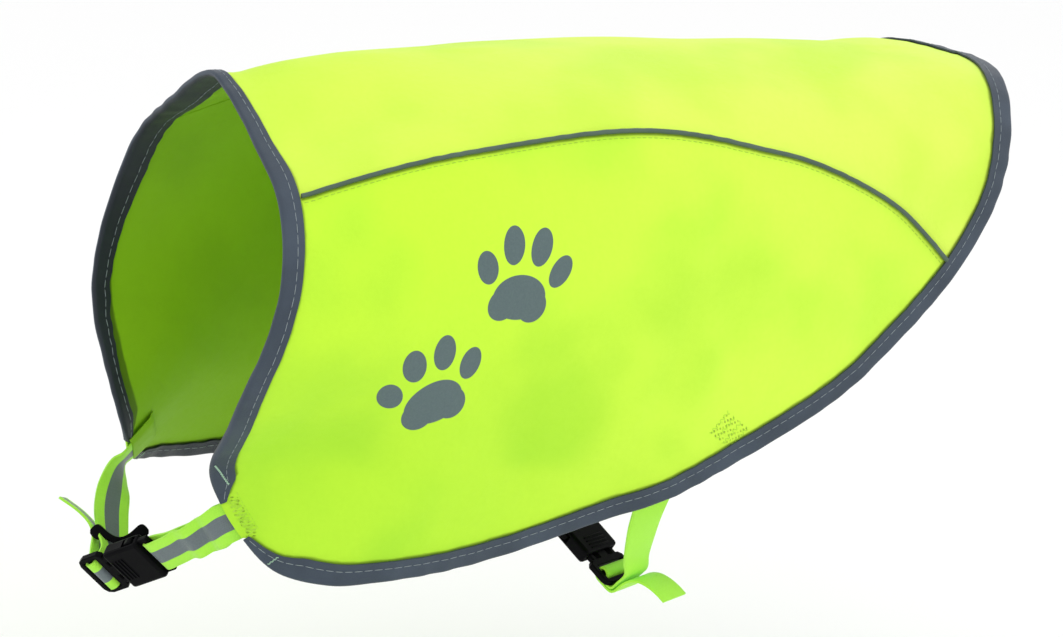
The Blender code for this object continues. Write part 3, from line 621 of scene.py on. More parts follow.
def webbing(name, base, deep, glow, stripe):
    """Woven strap, with a grey reflective stripe along its middle if it has one."""
    looks = Looks(name, Sheen_Weight=0.15, Emission_Strength=glow)
    along, across = looks.pattern()
    ribs = (along * (2 * np.pi / 0.0011)).sine()
    warp = (across * (2 * np.pi / 0.0013)).sine()
    fibre = looks.noise(0.0018, 3, rough=0.7)
    patchy = looks.noise(0.02, 2)
    tint = looks.blend(fibre * 0.5 + patchy * 0.4, base, deep)
    selvedge = looks.step(across.size(), 0.0088, 0.0094)
    bumps = [(patchy, 0.0004), (ribs * warp, 0.00007), (selvedge, -0.0002)]
    if not stripe:
        return looks.finish(tint, 0.6, bumps, tint)
    mask = 1 - looks.step(across.size(), 0.00425, 0.0044)
    speck = looks.noise(0.0009, 2, rough=0.8)
    grey = looks.blend(speck, colour(84, 96, 100), colour(108, 120, 122))
    bumps.append((mask, 0.00012))
    return looks.finish(looks.blend(mask, tint, grey), 0.6 - mask * 0.15, bumps,
                        looks.blend(mask, tint, NO_GLOW))


def moulded_plastic(name):
    looks = Looks(name, Specular_IOR_Level=0.06, IOR=1.4)
    grain = looks.noise(0.0007, 3, rough=0.7)
    smear = looks.noise(0.012, 3)
    tint = looks.blend(smear, (0.0012, 0.0012, 0.0016, 1), (0.004, 0.004, 0.005, 1))
    return looks.finish(tint, 0.3 + smear * 0.2, [(grain, 0.00005)])


def sewing_thread(name, base, glow=0.0):
    looks = Looks(name, Emission_Strength=glow)
    twist = looks.noise(0.0006, 2)
    tint = looks.blend(twist, base, darker(base, 0.7))
    return looks.finish(tint, 0.55, [(twist, 0.0001)], tint if glow else None)


# ---- modelling ----
def deselect():
    for thing in bpy.context.selected_objects:
        thing.select_set(False)


def select_only(thing):
    deselect()
    thing.select_set(True)
    bpy.context.view_layer.objects.active = thing


def apply_modifiers(thing):
    select_only(thing)
    for modifier in list(thing.modifiers):
        bpy.ops.object.modifier_apply(modifier=modifier.name)


def dress(thing, name, node, slot, *materials):
    """Name a finished piece, give it its finish, and let it stand for its CAD node."""
    thing.name = thing.data.name = name
    thing.data.materials.clear()
    for material in materials:
        thing.data.materials.append(material)
    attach(thing, "root")
    if node:
        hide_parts(node)
    return thing


def get_points(thing):
    return np.array([vert.co[:] for vert in thing.data.vertices])


def set_points(thing, points):
    thing.data.vertices.foreach_set("co", np.asarray(points, np.float32).ravel())
    thing.data.update()


def set_pattern(thing, pattern):
    """Keep each vertex's place on the flat pattern, in metres, as the piece's own UV map."""
    mesh = thing.data
    while mesh.uv_layers:
        mesh.uv_layers.remove(mesh.uv_layers[0])
    layer = mesh.uv_layers.new(name="pattern")
    corners = np.empty(len(mesh.loops), int)
    mesh.loops.foreach_get("vertex_index", corners)
    layer.data.foreach_set("uv", (np.asarray(pattern) * MM)[corners].astype(np.float32).ravel())


def copy_along(thing, points):
    """Copy the piece's own faces to each row of points, as one new mesh."""
    faces = [face.vertices[:] for face in thing.data.polygons]
    count = len(thing.data.vertices)
    mesh = bpy.data.meshes.new("copies")
    mesh.from_pydata(place(points).reshape(-1, 3).tolist(), [],
                     [tuple(corner + count * copy for corner in face)
                      for copy in range(len(points)) for face in faces])
    thing.data = mesh


def smooth_by_angle(thing, degrees):
    select_only(thing)
    bpy.ops.object.shade_smooth_by_angle(angle=np.radians(degrees))


def add_thickness(thing, thickness, inner_slot=0):
    shell = thing.modifiers.new("thickness", "SOLIDIFY")
    shell.thickness = thickness * MM
    shell.offset = 0
    shell.use_even_offset = True
    shell.use_quality_normals = True
    shell.material_offset = inner_slot
    shell.material_offset_rim = 0
    apply_modifiers(thing)
    smooth_by_angle(thing, 55)


def cloth_panel(name, node, outline, slot, outside, inside):
    """Cut the flat piece along its outline, divide it finely and lay it on the form."""
    deselect()
    bpy.ops.mesh.primitive_circle_add(vertices=len(outline), radius=1, fill_type="NGON")
    piece = bpy.context.object
    set_points(piece, np.concatenate((outline, np.zeros((len(outline), 1))), 1))
    bpy.ops.object.mode_set(mode="EDIT")
    for axis, normal in enumerate(((1, 0, 0), (0, 1, 0))):
        first = np.ceil(outline[:, axis].min() / CLOTH_CELL + 0.2) * CLOTH_CELL
        for at in np.arange(first, outline[:, axis].max(), CLOTH_CELL):
            bpy.ops.mesh.select_all(action="SELECT")
            bpy.ops.mesh.bisect(plane_co=tuple(np.multiply(normal, at)), plane_no=normal,
                                threshold=0.001)
    bpy.ops.mesh.select_all(action="SELECT")
    bpy.ops.mesh.remove_doubles(threshold=0.5)
    bpy.ops.object.mode_set(mode="OBJECT")
    pattern = get_points(piece)[:, :2]
    set_pattern(piece, pattern)
    rim, rim_way = rim_distance(pattern[:, 0], np.abs(pattern[:, 1]), RIM_LINE)
    join, _ = rim_distance(pattern[:, 0], np.abs(pattern[:, 1]), JOIN_LINE)
    for word, distance in (("border", rim - binding_border(rim_way)), ("join", join)):
        kept = piece.data.attributes.new(word, "FLOAT", "POINT")
        kept.data.foreach_set("value", distance.astype(np.float32))
    set_points(piece, place(lay(pattern)))
    piece.data.materials.append(outside)
    piece.data.materials.append(inside)
    add_thickness(piece, PANEL_THICK, 1)
    slots = [face.material_index for face in piece.data.polygons]
    dress(piece, name, node, slot, outside, inside)
    piece.data.polygons.foreach_set("material_index", slots)
    return piece


def band(name, node, columns, patterns, thickness, slot, material):
    """A band of cloth: a flat grid of cells, moved to its columns of points."""
    grid, pattern = np.stack(columns, 1), np.stack(patterns, 1)
    rows, columns = grid.shape[:2]
    deselect()
    bpy.ops.mesh.primitive_grid_add(x_subdivisions=columns - 1, y_subdivisions=rows - 1, size=1)
    piece = bpy.context.object
    set_points(piece, place(grid.reshape(-1, 3)))
    set_pattern(piece, pattern.reshape(-1, 2))
    add_thickness(piece, thickness)
    return dress(piece, name, node, slot, material)


BINDING_SECTION = (
    # in from the fold, above the middle of the panel, distance round the section
    (BINDING_WIDTH, 1, -13.6), (9.0, 1, -10.6), (6.0, 1, -7.6), (3.4, 1, -5.0), (2.0, 1, -3.6),
    (1.1, 0.82, -2.4), (0.6, 0.45, -1.2), (FOLD_INSET, 0, 0), (0.6, -0.45, 1.2), (1.1, -0.82, 2.4),
    (2.0, -1, 3.6), (3.4, -1, 5.0), (6.0, -1, 7.6), (9.0, -1, 10.6), (BINDING_WIDTH, -1, 13.6),
)


def signed_edge(ways, from_tail, inset):
    """Points of the outer edge at signed places: negative ones are on the left."""
    distance = TAIL_CENTRE - np.abs(ways) if from_tail else np.abs(ways)
    pattern = edge(distance, np.broadcast_to(inset, len(ways)))
    pattern[:, 1] *= np.where(ways < 0, -1, 1)
    return pattern


def shares(ways, from_tail, side):
    """The binding's width along it, as a share, on its outer and on its inner half."""
    reach, taper = (TAIL_CENTRE - HEM_STARTS, HEM_TAPER) if from_tail else (NECK_ENDS, NECK_TAPER)
    share = width_share(reach - np.abs(ways), taper)
    if side < 0:
        lost = INNER_LOSS * np.clip((np.abs(ways) - INNER_FROM) / INNER_REACH, 0, 1)
        inner = 1 if from_tail else INNER_SHARE - lost
        return share * inner + SCALLOP * uneven_wave(ways, SCALLOP_PITCH)
    return share if from_tail else share * peak_share(np.abs(ways))


def binding(name, node, reach, from_tail, material):
    ways = stretch(-reach, reach, BAND_CELL)
    columns, patterns = [], []
    for inset, side, around in BINDING_SECTION:
        loose = BINDING_LOOSE * uneven_wave(ways + 31 * side, 13) * (inset / BINDING_WIDTH)
        inwards = FOLD_INSET + (inset - FOLD_INSET) * shares(ways, from_tail, side)
        columns.append(lay(signed_edge(ways, from_tail, inwards),
                           side * BINDING_LIFT + loose * np.sign(side)))
        patterns.append(np.stack([ways, np.full(len(ways), around)], -1))
    return band(name, node, columns, patterns, BINDING_THICK, "grey_tape", material)


def piping(name, node, side, material):
    """The covered cord along a seam: a round section swept along it."""
    ways = seam_between(PIPING_ENDS, PIPING_ENDS, CORD_CELL)
    middle = lay(seam(ways) * (1, side), np.full(len(ways), PIPING_LIFT))
    sideways = lay(seam(ways, 1.0) * (1, side), np.full(len(ways), PIPING_LIFT)) - middle
    sideways /= np.linalg.norm(sideways, axis=-1, keepdims=True)
    travel = np.gradient(middle, axis=0)
    travel /= np.linalg.norm(travel, axis=-1, keepdims=True)
    above = np.cross(travel, sideways)
    deselect()
    bpy.ops.mesh.primitive_cylinder_add(vertices=CORD_SIDES, radius=1, depth=1, end_fill_type="NGON")
    cord = bpy.context.object
    shape = bmesh.new()
    shape.from_mesh(cord.data)
    uprights = [line for line in shape.edges if abs(line.verts[0].co.z - line.verts[1].co.z) > 0.5]
    bmesh.ops.subdivide_edges(shape, edges=uprights, cuts=len(ways) - 2, use_grid_fill=False)
    heights = np.array([vert.co.z for vert in shape.verts])
    rows = np.rint((heights + 0.5) * (len(ways) - 1)).astype(int)
    angles = np.array([np.arctan2(vert.co.y, vert.co.x) for vert in shape.verts])
    swell = PIPING_RADIUS * (1 + 0.04 * uneven_wave(ways, 9))[rows]
    points = (middle[rows] + sideways[rows] * (np.cos(angles) * swell)[:, None]
              + above[rows] * (np.sin(angles) * swell)[:, None])
    for vert, point in zip(shape.verts, place(points)):
        vert.co = point
    bmesh.ops.recalc_face_normals(shape, faces=shape.faces)
    shape.to_mesh(cord.data)
    shape.free()
    set_pattern(cord, np.stack([ways[rows], angles * PIPING_RADIUS], -1))
    smooth_by_angle(cord, 60)
    return dress(cord, name, node, "grey_tape", material)


def stitches(name, starts, ends, raised, radius, slot, material):
    """Many short threads: one is modelled, and a copy of it lies between each start and end."""
    deselect()
    bpy.ops.mesh.primitive_uv_sphere_add(segments=6, ring_count=5, radius=1)
    model = bpy.context.object
    shape = get_points(model)
    starts, ends, raised = (np.asarray(part, float) for part in (starts, ends, raised))
    travel = ends - starts
    length = np.linalg.norm(travel, axis=-1, keepdims=True)
    travel = travel / length
    raised = raised - (raised * travel).sum(-1, keepdims=True) * travel
    raised /= np.linalg.norm(raised, axis=-1, keepdims=True)
    sideways = np.cross(raised, travel)
    middle = (starts + ends) / 2
    blunt = np.sign(shape[:, 2]) * np.abs(shape[:, 2]) ** 0.6
    copy_along(model, middle[:, None] + blunt[None, :, None] * (travel * length / 2)[:, None]
               + shape[None, :, :1] * sideways[:, None] * radius
               + shape[None, :, 1:2] * raised[:, None] * radius * THREAD_FLATNESS)
    shape = bmesh.new()
    shape.from_mesh(model.data)
    bmesh.ops.recalc_face_normals(shape, faces=shape.faces)
    shape.to_mesh(model.data)
    shape.free()
    model.data.shade_smooth()
    return dress(model, name, None, slot, material)


def sewn_line(pattern_at, ways, length, lift):
    """Starts, ends and outward directions of the stitches of one sewn line."""
    starts = lay(pattern_at(ways - length / 2), np.full(len(ways), lift))
    ends = lay(pattern_at(ways + length / 2), np.full(len(ways), lift))
    out = lay(pattern_at(ways), np.full(len(ways), lift + np.sign(lift))) - (starts + ends) / 2
    return starts, ends, out


def zigzag(start, end, width, pitch):
    """Points that swing from side to side of a line of the pattern."""
    start, end = np.array(start, float), np.array(end, float)
    travel = unit(end - start)
    parts = np.linspace(0, 1, int(np.linalg.norm(end - start) / pitch) + 1)
    swing = np.where(np.arange(len(parts)) % 2, 0.5, -0.5) * width
    return start + parts[:, None] * (end - start) + swing[:, None] * np.array([-travel[1], travel[0]])


def dashes(corners, pitch, length):
    """Short stitches along a line through corners of the pattern: pairs of points."""
    pairs = []
    for start, end in zip(np.array(corners[:-1], float), np.array(corners[1:], float)):
        count = max(int(round(np.linalg.norm(end - start) / pitch)), 1)
        step = (end - start) / count
        spare = step * (1 - length / pitch) / 2
        pairs += [(start + step * turn + spare, start + step * (turn + 1) - spare)
                  for turn in range(count)]
    return pairs


def thread_runs(paths, side, lift):
    """Starts, ends and outward directions of the threads that join the points of each path."""
    runs = []
    for path in paths:
        pattern = np.asarray(path, float) * (1, side)
        low = lay(pattern, np.full(len(pattern), lift))
        high = lay(pattern, np.full(len(pattern), lift + np.sign(lift)))
        runs.append((low[:-1], low[1:], (high - low)[:-1]))
    return join_runs(runs)


def join_runs(runs):
    return [np.concatenate(part) for part in zip(*runs)]


# ---- straps ----
STRAP_ACROSS = np.linspace(-STRAP_WIDTH / 2, STRAP_WIDTH / 2, 9)


def unit(vector):
    return np.asarray(vector, float) / np.linalg.norm(vector)


def free_row(centre, width):
    return np.asarray(centre, float) + STRAP_ACROSS[:, None] * unit(width)


def sewn_row(centre, heading, lift, side):
    """A strap's row inside a panel, at a point of the right half's pattern, square to its heading."""
    heading = unit(heading)
    across = np.array([-heading[1], heading[0]])
    pattern = (np.asarray(centre) + STRAP_ACROSS[:, None] * across) * (1, side)
    return lay(pattern, np.full(len(STRAP_ACROSS), lift))


def bridge(start, end, waves):
    """Rows between two rows: how far along, how far off the strap's face, and how far sideways."""
    rows = []
    for part, rise, shift in waves:
        row = start * (1 - part) + end * part
        width = unit(row[-1] - row[0])
        travel = unit(end.mean(0) - start.mean(0))
        rows.append(row + unit(np.cross(travel, width)) * rise + width * shift)
    return rows


def strap(name, node, rows, material):
    """Webbing through rows of points, with a smooth run between them."""
    rows = np.stack(rows)
    knots = lengths(rows.mean(1))
    ways = stretch(0, knots[-1], STRAP_CELL)
    columns = np.einsum("pk,kcd->cpd", weights(knots, ways), rows)
    patterns = np.stack(np.meshgrid(ways, STRAP_ACROSS), -1)
    return band(name, node, columns, patterns, STRAP_THICK, "webbing", material)


CHEST_BUCKLE = ((-22.6, -20.0, -248.3), (-0.412, 0.778, -0.473), (0.675, 0, -0.737))
BELLY_BUCKLE = ((224.5, -5.0, -253.6), (0.343, -0.763, -0.55), (0.92, 0.40, 0.02))


class Buckle:
    """A buckle's own frame: along it to the plug, across its width, and out of its outer face."""

    def __init__(self, origin, along, across):
        self.origin = np.array(origin)
        self.along = unit(along)
        self.outward = unit(np.cross(along, across))
        self.across = np.cross(self.outward, self.along)

    def at(self, along, across, outward):
        return self.origin + self.along * along + self.across * across + self.outward * outward

    def row(self, along, outward, sideways=0.0, width=(0, 1, 0)):
        turned = self.along * width[0] + self.across * width[1] + self.outward * width[2]
        return free_row(self.at(along, sideways, outward), turned)


SOCKET_TURN = (
    # a strap round the socket's bar: along the buckle, out of its face
    (-11, 1.3), (-4, 2.3), (0.2, 2.85), (2.2, 2.75), (3.7, 1.9), (4.1, 0),
    (3.7, -1.9), (2.2, -2.75), (0.2, -2.85), (-4, -2.3), (-11, -1.3),
)
CHEST_SLIDER = (
    (-11.5, -9), (-11.0, -3.6), (-10.9, 0), (-10.2, 2.4), (-8.6, 3.0), (-7.2, 3.0), (-5.6, 2.4),
    (-4.9, 0), (-4.8, -3.6),
)
CHEST_TAIL = (
    # from the plug's end, out of its face, sideways, and the width along, across and out
    (-3.6, -11, -1, (0, 1, 0)), (-1.5, -19, -3, (0.2, 0.96, -0.2)), (2, -27, -8, (0.4, 0.8, -0.42)),
    (7, -33, -17, (0.52, 0.62, -0.58)), (14, -37, -28, (0.54, 0.56, -0.62)),
)
BELLY_SLIDER = (
    (3.2, 10), (2.3, 4), (1.8, 0.5), (1.3, -1.8), (-0.2, -2.85), (-1.9, -2.9), (-3.7, -2.5),
    (-4.7, -1.2), (-4.9, 0.6), (-5.4, 2.4), (-6.9, 3.2), (-9, 3.3), (-10.4, 2.4), (-10.9, 0),
    (-10.9, -2.4), (-10.1, -4.1), (-8.3, -4.7), (-4, -4.65), (-0.4, -4.6), (2.1, -3.9), (3.6, -2),
    (4.1, 0.5),
)
BELLY_TAIL = (
    (4.5, 4, 1.2, (0, 1, 0)), (6.4, 8.6, 2.5, (0, 1, 0)), (10.5, 12, 4, (0, 1, 0)),
    (16, 13.6, 5.2, (0, 1, 0)), (22, 14.2, 6, (0, 1, 0)), (28, 14, 6.5, (0, 1, 0)),
)
CHEST_LEFT_WAVES = ((0.2, 1.4, 0.4), (0.42, -2.0, 0.9), (0.66, 1.8, 0.5), (0.86, -0.6, 0))
CHEST_LEFT_INNER_WAVES = ((0.2, 1.4, 1.5), (0.55, 4.2, 3.0), (0.8, 2.2, 1.8))
CHEST_RIGHT_RUN = (
    # place, width
    ((-10.7, 67.7, -231.2), (0.53, 0.28, -0.80)), ((-17.5, 57.6, -237.7), (0.82, -0.11, -0.57)),
    ((-23.8, 45.9, -244.7), (0.88, -0.24, -0.41)), ((-28.6, 33.5, -251.6), (0.88, -0.17, -0.45)),
    ((-31.9, 23.4, -257.5), (0.78, -0.07, -0.62)),
)
BELLY_SEWN = (
    # along, down, how far the strap's middle lies above the panel's
    (278, 252, -2.9), (272.5, 257.5, -2.9), (267, 263, -3.2), (261.5, 268.5, -4.2),
)
BELLY_LEFT_RUN = (
    # place, width
    ((249, -88, -202), (0.80, 0.03, -0.55)), ((239.5, -79.5, -217.5), (0.93, 0.0, -0.20)),
    ((236.5, -74, -235), (0.97, 0.05, 0.08)), ((238.5, -65.5, -252), (0.95, 0.20, 0.08)),
    ((242.2, -57, -265.5), (0.93, 0.33, 0.05)),
)
BELLY_RIGHT_RUN = (
    ((249, 92, -202), (0.80, -0.03, -0.55)), ((240, 80, -216), (0.93, -0.05, -0.25)),
    ((232, 62.5, -228.8), (0.97, -0.12, -0.05)), ((226, 31, -238.6), (0.96, 0.2, 0.0)),
)
CORNER_MIDDLE = (NECK_ENDS + HEM_STARTS) / 2


def corner_rows(side, lift):
    """Rows of a chest strap from its sewn end inside the panel out past the corner's bare edge."""
    bare_edge = edge(np.array(CORNER_MIDDLE))
    heading = edge(np.array(CORNER_MIDDLE), 1.0) - bare_edge
    rows = []
    for inside in (CORNER_SEWN, 10, 5, 0, -5):
        rows.append(sewn_row(bare_edge + heading * inside, heading, lift, side))
    return rows


def faced(rows, towards):
    """Turn each row end for end if need be, so that its width runs with the row it meets."""
    width = towards[-1] - towards[0]
    return [row if np.dot(row[-1] - row[0], width) > 0 else row[::-1] for row in rows]


def chest_left_rows(buckle):
    turn = [buckle.row(*spot) for spot in SOCKET_TURN]
    outer = faced(corner_rows(-1, BOUND_LIFT), turn[0])
    inner = faced(corner_rows(-1, BOUND_LIFT - LAYER), turn[0])[::-1]
    return (outer + bridge(outer[-1], turn[0], CHEST_LEFT_WAVES) + turn
            + bridge(turn[-1], inner[0], CHEST_LEFT_INNER_WAVES) + inner)


def slider_rows(buckle, slider, tail):
    """Rows through a plug's slider, and of the loose tail behind it."""
    turns = [buckle.row(BUCKLE_LENGTH + from_end, out) for from_end, out in slider]
    return turns + [buckle.row(BUCKLE_LENGTH + from_end, out, sideways, width)
                    for from_end, out, sideways, width in tail]


def chest_right_rows(buckle):
    ending = slider_rows(buckle, CHEST_SLIDER, CHEST_TAIL)
    run = [free_row(*spot) for spot in CHEST_RIGHT_RUN]
    return faced(corner_rows(1, BOUND_LIFT), ending[0]) + faced(run, ending[0]) + ending


def belly_sewn_rows(side):
    heading = np.subtract(BELLY_SEWN[0][:2], BELLY_SEWN[-1][:2])
    return [sewn_row((along, down), heading, lift, side) for along, down, lift in BELLY_SEWN]


def belly_left_rows(buckle):
    run = [free_row(*spot) for spot in BELLY_LEFT_RUN]
    return faced(belly_sewn_rows(-1), run[0]) + run + slider_rows(buckle, BELLY_SLIDER, BELLY_TAIL)


def belly_right_rows(buckle):
    turn = [buckle.row(*spot) for spot in SOCKET_TURN]
    run = [free_row(*spot) for spot in BELLY_RIGHT_RUN]
    doubled = [buckle.row(*spot) for spot in ((-17, -1.15), (-24, -1.3))]
    return faced(belly_sewn_rows(1), run[0]) + run + turn + doubled


# ---- making the vest ----
# the inner face and turnings, painted darker than the outside for the shade inside the vest: at the
# front, at the tail, and low at the front
INSIDE_SHADED_GREENS = (colour(144, 198, 14), colour(144, 198, 14), colour(124, 174, 10))


def make_cloth():
    # painted light: the back panel's cloth, the same fabric as the sides, is painted lighter because the
    # light falls on it from above
    lit = cloth("neon_back_cloth", colour(214, 246, 78), colour(222, 250, 92), colour(190, 232, 56), 0.03)
    side = cloth("neon_side_cloth", colour(202, 248, 52), colour(214, 252, 74), colour(172, 230, 46),
                 0.03, printed=True)
    inside = cloth("neon_cloth_inside", *INSIDE_SHADED_GREENS, 0.0, sheen=0.02)
    back = cloth_panel("back_panel_cloth", "back_panel", back_outline(), "back_cloth", lit, inside)
    panels = [back]
    for word, sign in (("left", -1), ("right", 1)):
        panels.append(cloth_panel(f"side_panel_{word}_cloth", f"side_panel_{word}",
                                  mirrored(side_outline(), sign), "side_cloth", side, inside))
    return panels


def make_bindings():
    grey = reflective_tape("grey_tape", colour(52, 62, 74), colour(72, 84, 98), 0.85)
    hem_half = TAIL_CENTRE - HEM_STARTS
    neck = binding("neck_binding_tape", "neck_binding", NECK_ENDS, False, grey)
    hem = binding("hem_binding_tape", "hem_binding", hem_half, True, grey)
    cord = reflective_tape("piping_cover", colour(70, 90, 78), colour(88, 108, 96))
    for word, sign in (("left", -1), ("right", 1)):
        piping(f"piping_{word}_cord", f"piping_{word}", sign, cord)
    return neck, hem


def make_stitches():
    pale = sewing_thread("pale_thread", colour(150, 162, 166))
    neon = sewing_thread("neon_thread", colour(176, 222, 60), 0.05)
    lift = BINDING_LIFT + BINDING_THICK / 2 + 0.1
    for word, reach, from_tail in (("neck", NECK_ENDS, False), ("hem", TAIL_CENTRE - HEM_STARTS, True)):
        ways = stretch(-reach + 4, reach - 4, STITCH_PITCH)
        lines = [sewn_line(lambda at: signed_edge(at, from_tail,
                                                  STITCH_INSET * shares(at, from_tail, sign)),
                           ways, STITCH_LENGTH, sign * lift) for sign in (1, -1)]
        stitches(f"{word}_stitches", *join_runs(lines), THREAD_RADIUS, "grey_tape", pale)
    ways = seam_between(PIPING_ENDS + 2, PIPING_ENDS + 2, SEAM_STITCH_PITCH)
    lines = [sewn_line(lambda at: seam(at, SEAM_STITCH_OFFSET) * (1, sign), ways, SEAM_STITCH_LENGTH,
                       ON_CLOTH) for sign in (-1, 1)]
    stitches("seam_stitches", *join_runs(lines), SEAM_THREAD_RADIUS, "side_cloth", neon)


# The turned-in cloth behind each chest strap's sewn end: its reach past the bare edge's ends and
# inwards, its thickness, and how deep it lies on the doubled left strap and on the right one.
FACING_SPARE, FACING_DEEP, FACING_THICK = 2.6, 19.5, 0.6
FACING_LIFT = {-1: -5.85, 1: -4.05}
# How deep it lies beside the strap, how much less so at its inner edge, and over what distance it
# comes down from the strap's sides and end.
FACING_BESIDE, FACING_RISE, FACING_FALL, FACING_END_FALL = -2.7, 1.5, 2.8, 3.6


def corner_facing(name, side, material):
    """The cloth that closes a chest strap's sewn end in on the inside of the corner."""
    ways = np.linspace(NECK_ENDS - FACING_SPARE, HEM_STARTS + FACING_SPARE, 25)
    insets = np.linspace(0.4, FACING_DEEP, 15)
    off_strap = np.abs(ways - CORNER_MIDDLE) - STRAP_WIDTH / 2
    over_strap = soft(1 - np.clip((off_strap - 0.4) / FACING_FALL, 0, 1))
    columns, patterns = [], []
    for inset in insets:
        past_strap = np.clip((inset - CORNER_SEWN - 0.5) / FACING_END_FALL, 0, 1)
        at_sides = FACING_BESIDE + FACING_RISE * past_strap
        lift = at_sides + (FACING_LIFT[side] - at_sides) * over_strap * (1 - soft(past_strap))
        pattern = edge(ways, np.full(len(ways), inset)) * (1, side)
        columns.append(lay(pattern, lift))
        patterns.append(pattern)
    return band(name, None, columns, patterns, FACING_THICK, "side_cloth", material)


ALLOWANCE_OFFSETS = (-3.6, -2.4, -1.2, 0.0, 1.2, 2.4, 3.6)
ALLOWANCE_LIFT, ALLOWANCE_THICK = -PANEL_THICK / 2 - 0.16, 0.25


def seam_allowance(name, side, material):
    """The panels' turned-in edges along a seam, on the inside."""
    ways = seam_between(9, 9, 3.0)
    columns, patterns = [], []
    for offset in ALLOWANCE_OFFSETS:
        pattern = seam(ways, offset + 0.4 * uneven_wave(ways, 23)) * (1, side)
        columns.append(lay(pattern, np.full(len(ways), ALLOWANCE_LIFT)))
        patterns.append(pattern)
    return band(name, None, columns, patterns, ALLOWANCE_THICK, "side_cloth", material)


def make_inner_cloth():
    inner = cloth("neon_turnings", *INSIDE_SHADED_GREENS, 0.0, bordered=False, sheen=0.02)
    for word, side in (("left", -1), ("right", 1)):
        corner_facing(f"corner_facing_{word}", side, inner)
        seam_allowance(f"seam_allowance_{word}", side, inner)


def make_corner_stitches():
    """The zigzag along the bare corners, the bar tacks over the bindings, and the belly straps' boxes."""
    neon = sewing_thread("corner_thread", colour(190, 240, 66), 0.02)
    pale = sewing_thread("tack_thread", colour(176, 214, 186))
    on_tape = BINDING_LIFT + BINDING_THICK / 2 + 0.2
    under_strap = BELLY_SEWN[1][2] - STRAP_THICK / 2 - 0.15
    corner_ends = [edge(np.array(way), 5.5) for way in (NECK_ENDS + 0.5, HEM_STARTS - 0.5)]
    across_ends = [edge(np.array(way), 8.6) for way in (NECK_ENDS - 3, HEM_STARTS - 1)]
    corner = [zigzag(*corner_ends, 5.2, 1.15), zigzag(*corner_ends[::-1], 4.6, 1.35),
              *dashes(across_ends, 2.4, 2.0)]
    at, below, turn, half_length, half_width = NEEDLE_BOXES[1]
    ahead = np.array([np.cos(np.radians(turn)), np.sin(np.radians(turn))])
    aside = np.array([-ahead[1], ahead[0]])
    belly = []
    for row in (-0.95, -0.32, 0.32, 0.95):
        start, end = (np.array([at, below]) + ahead * half_length * way + aside * half_width * row
                      for way in (-1, 1))
        belly.append(zigzag(start, end, 2.4, 1.5))
    sewn = [thread_runs(path, side, lift) for side in (-1, 1)
            for path, lift in ((corner, ON_CLOTH), (belly, ON_CLOTH), (belly, under_strap))]
    stitches("corner_stitches", *join_runs(sewn), CORNER_THREAD_RADIUS, "side_cloth", neon)
    tacks = [zigzag(edge(np.array(NECK_ENDS - 31), 2.0), edge(np.array(NECK_ENDS - 10), 7.4), 1.0, 0.8),
             zigzag(edge(np.array(HEM_STARTS + 17), 1.2), edge(np.array(HEM_STARTS + 18), 7.0), 0.9, 0.8)]
    sewn = [thread_runs(tacks, side, on_tape) for side in (-1, 1)]
    sewn += [thread_runs(tacks[1:], side, -on_tape) for side in (-1, 1)]
    stitches("bar_tacks", *join_runs(sewn), TACK_THREAD_RADIUS, "grey_tape", pale)


def make_straps():
    striped = webbing("striped_webbing", colour(172, 240, 62), colour(150, 222, 46), 0.06, True)
    plain = webbing("plain_webbing", colour(176, 246, 60), colour(156, 228, 46), 0.08, False)
    chest, belly = Buckle(*CHEST_BUCKLE), Buckle(*BELLY_BUCKLE)
    strap("chest_strap_left_webbing", "chest_strap_left", chest_left_rows(chest), striped)
    strap("chest_strap_right_webbing", "chest_strap_right", chest_right_rows(chest), striped)
    strap("belly_strap_left_webbing", "belly_strap_left", belly_left_rows(belly), plain)
    strap("belly_strap_right_webbing", "belly_strap_right", belly_right_rows(belly), plain)


ADJUSTER_PLACE = (-29.4, 20.3, -254.6)
ADJUSTER_AXES = ((0.8812, -0.4678, 0.0674), (0.0642, 0.2596, 0.9636), (-0.4683, -0.8448, 0.2588))
ADJUSTER_SIZE = (31.0, 6.6, 4.4)
ADJUSTER_RISE = 5.0            # of its two ends over its middle
LOBE_AT = 0.76                 # where each end's lobe is widest


def strap_adjuster(name, material):
    """The bowed bar behind the chest buckle, with a lobe at each end, that the loose tail passes."""
    deselect()
    bpy.ops.mesh.primitive_cube_add(size=1)
    bar = bpy.context.object
    bpy.ops.object.mode_set(mode="EDIT")
    bpy.ops.mesh.select_all(action="SELECT")
    bpy.ops.transform.resize(value=ADJUSTER_SIZE)
    bpy.ops.mesh.subdivide(number_cuts=13)
    bpy.ops.object.mode_set(mode="OBJECT")
    shape = get_points(bar)
    reach = np.abs(shape[:, 0]) / (ADJUSTER_SIZE[0] / 2)
    lobe = np.exp(-((reach - LOBE_AT) / 0.2) ** 2)
    rounded = np.sqrt(1 - 0.85 * (np.maximum(reach - LOBE_AT, 0) / (1 - LOBE_AT)) ** 2)
    shape[:, 1] = (shape[:, 1] * (0.62 + 0.75 * lobe) * rounded
                   + ADJUSTER_RISE * (1 - np.cos(np.pi * np.minimum(reach / LOBE_AT, 1))) / 2)
    shape[:, 2] = shape[:, 2] * (0.7 + 0.35 * lobe) * rounded
    set_points(bar, place(np.array(ADJUSTER_PLACE) + shape @ np.array(ADJUSTER_AXES)))
    smooth = bar.modifiers.new("rounded", "SUBSURF")
    smooth.levels = smooth.render_levels = 1
    apply_modifiers(bar)
    bar.data.shade_smooth()
    return dress(bar, name, None, "black_plastic", material)


RIB_SIZE = (0.9, 15.0, 1.1)    # along the buckle, across it and out of its face
RIBS_ALONG = (21.5, 23.8, 26.1, 28.4)


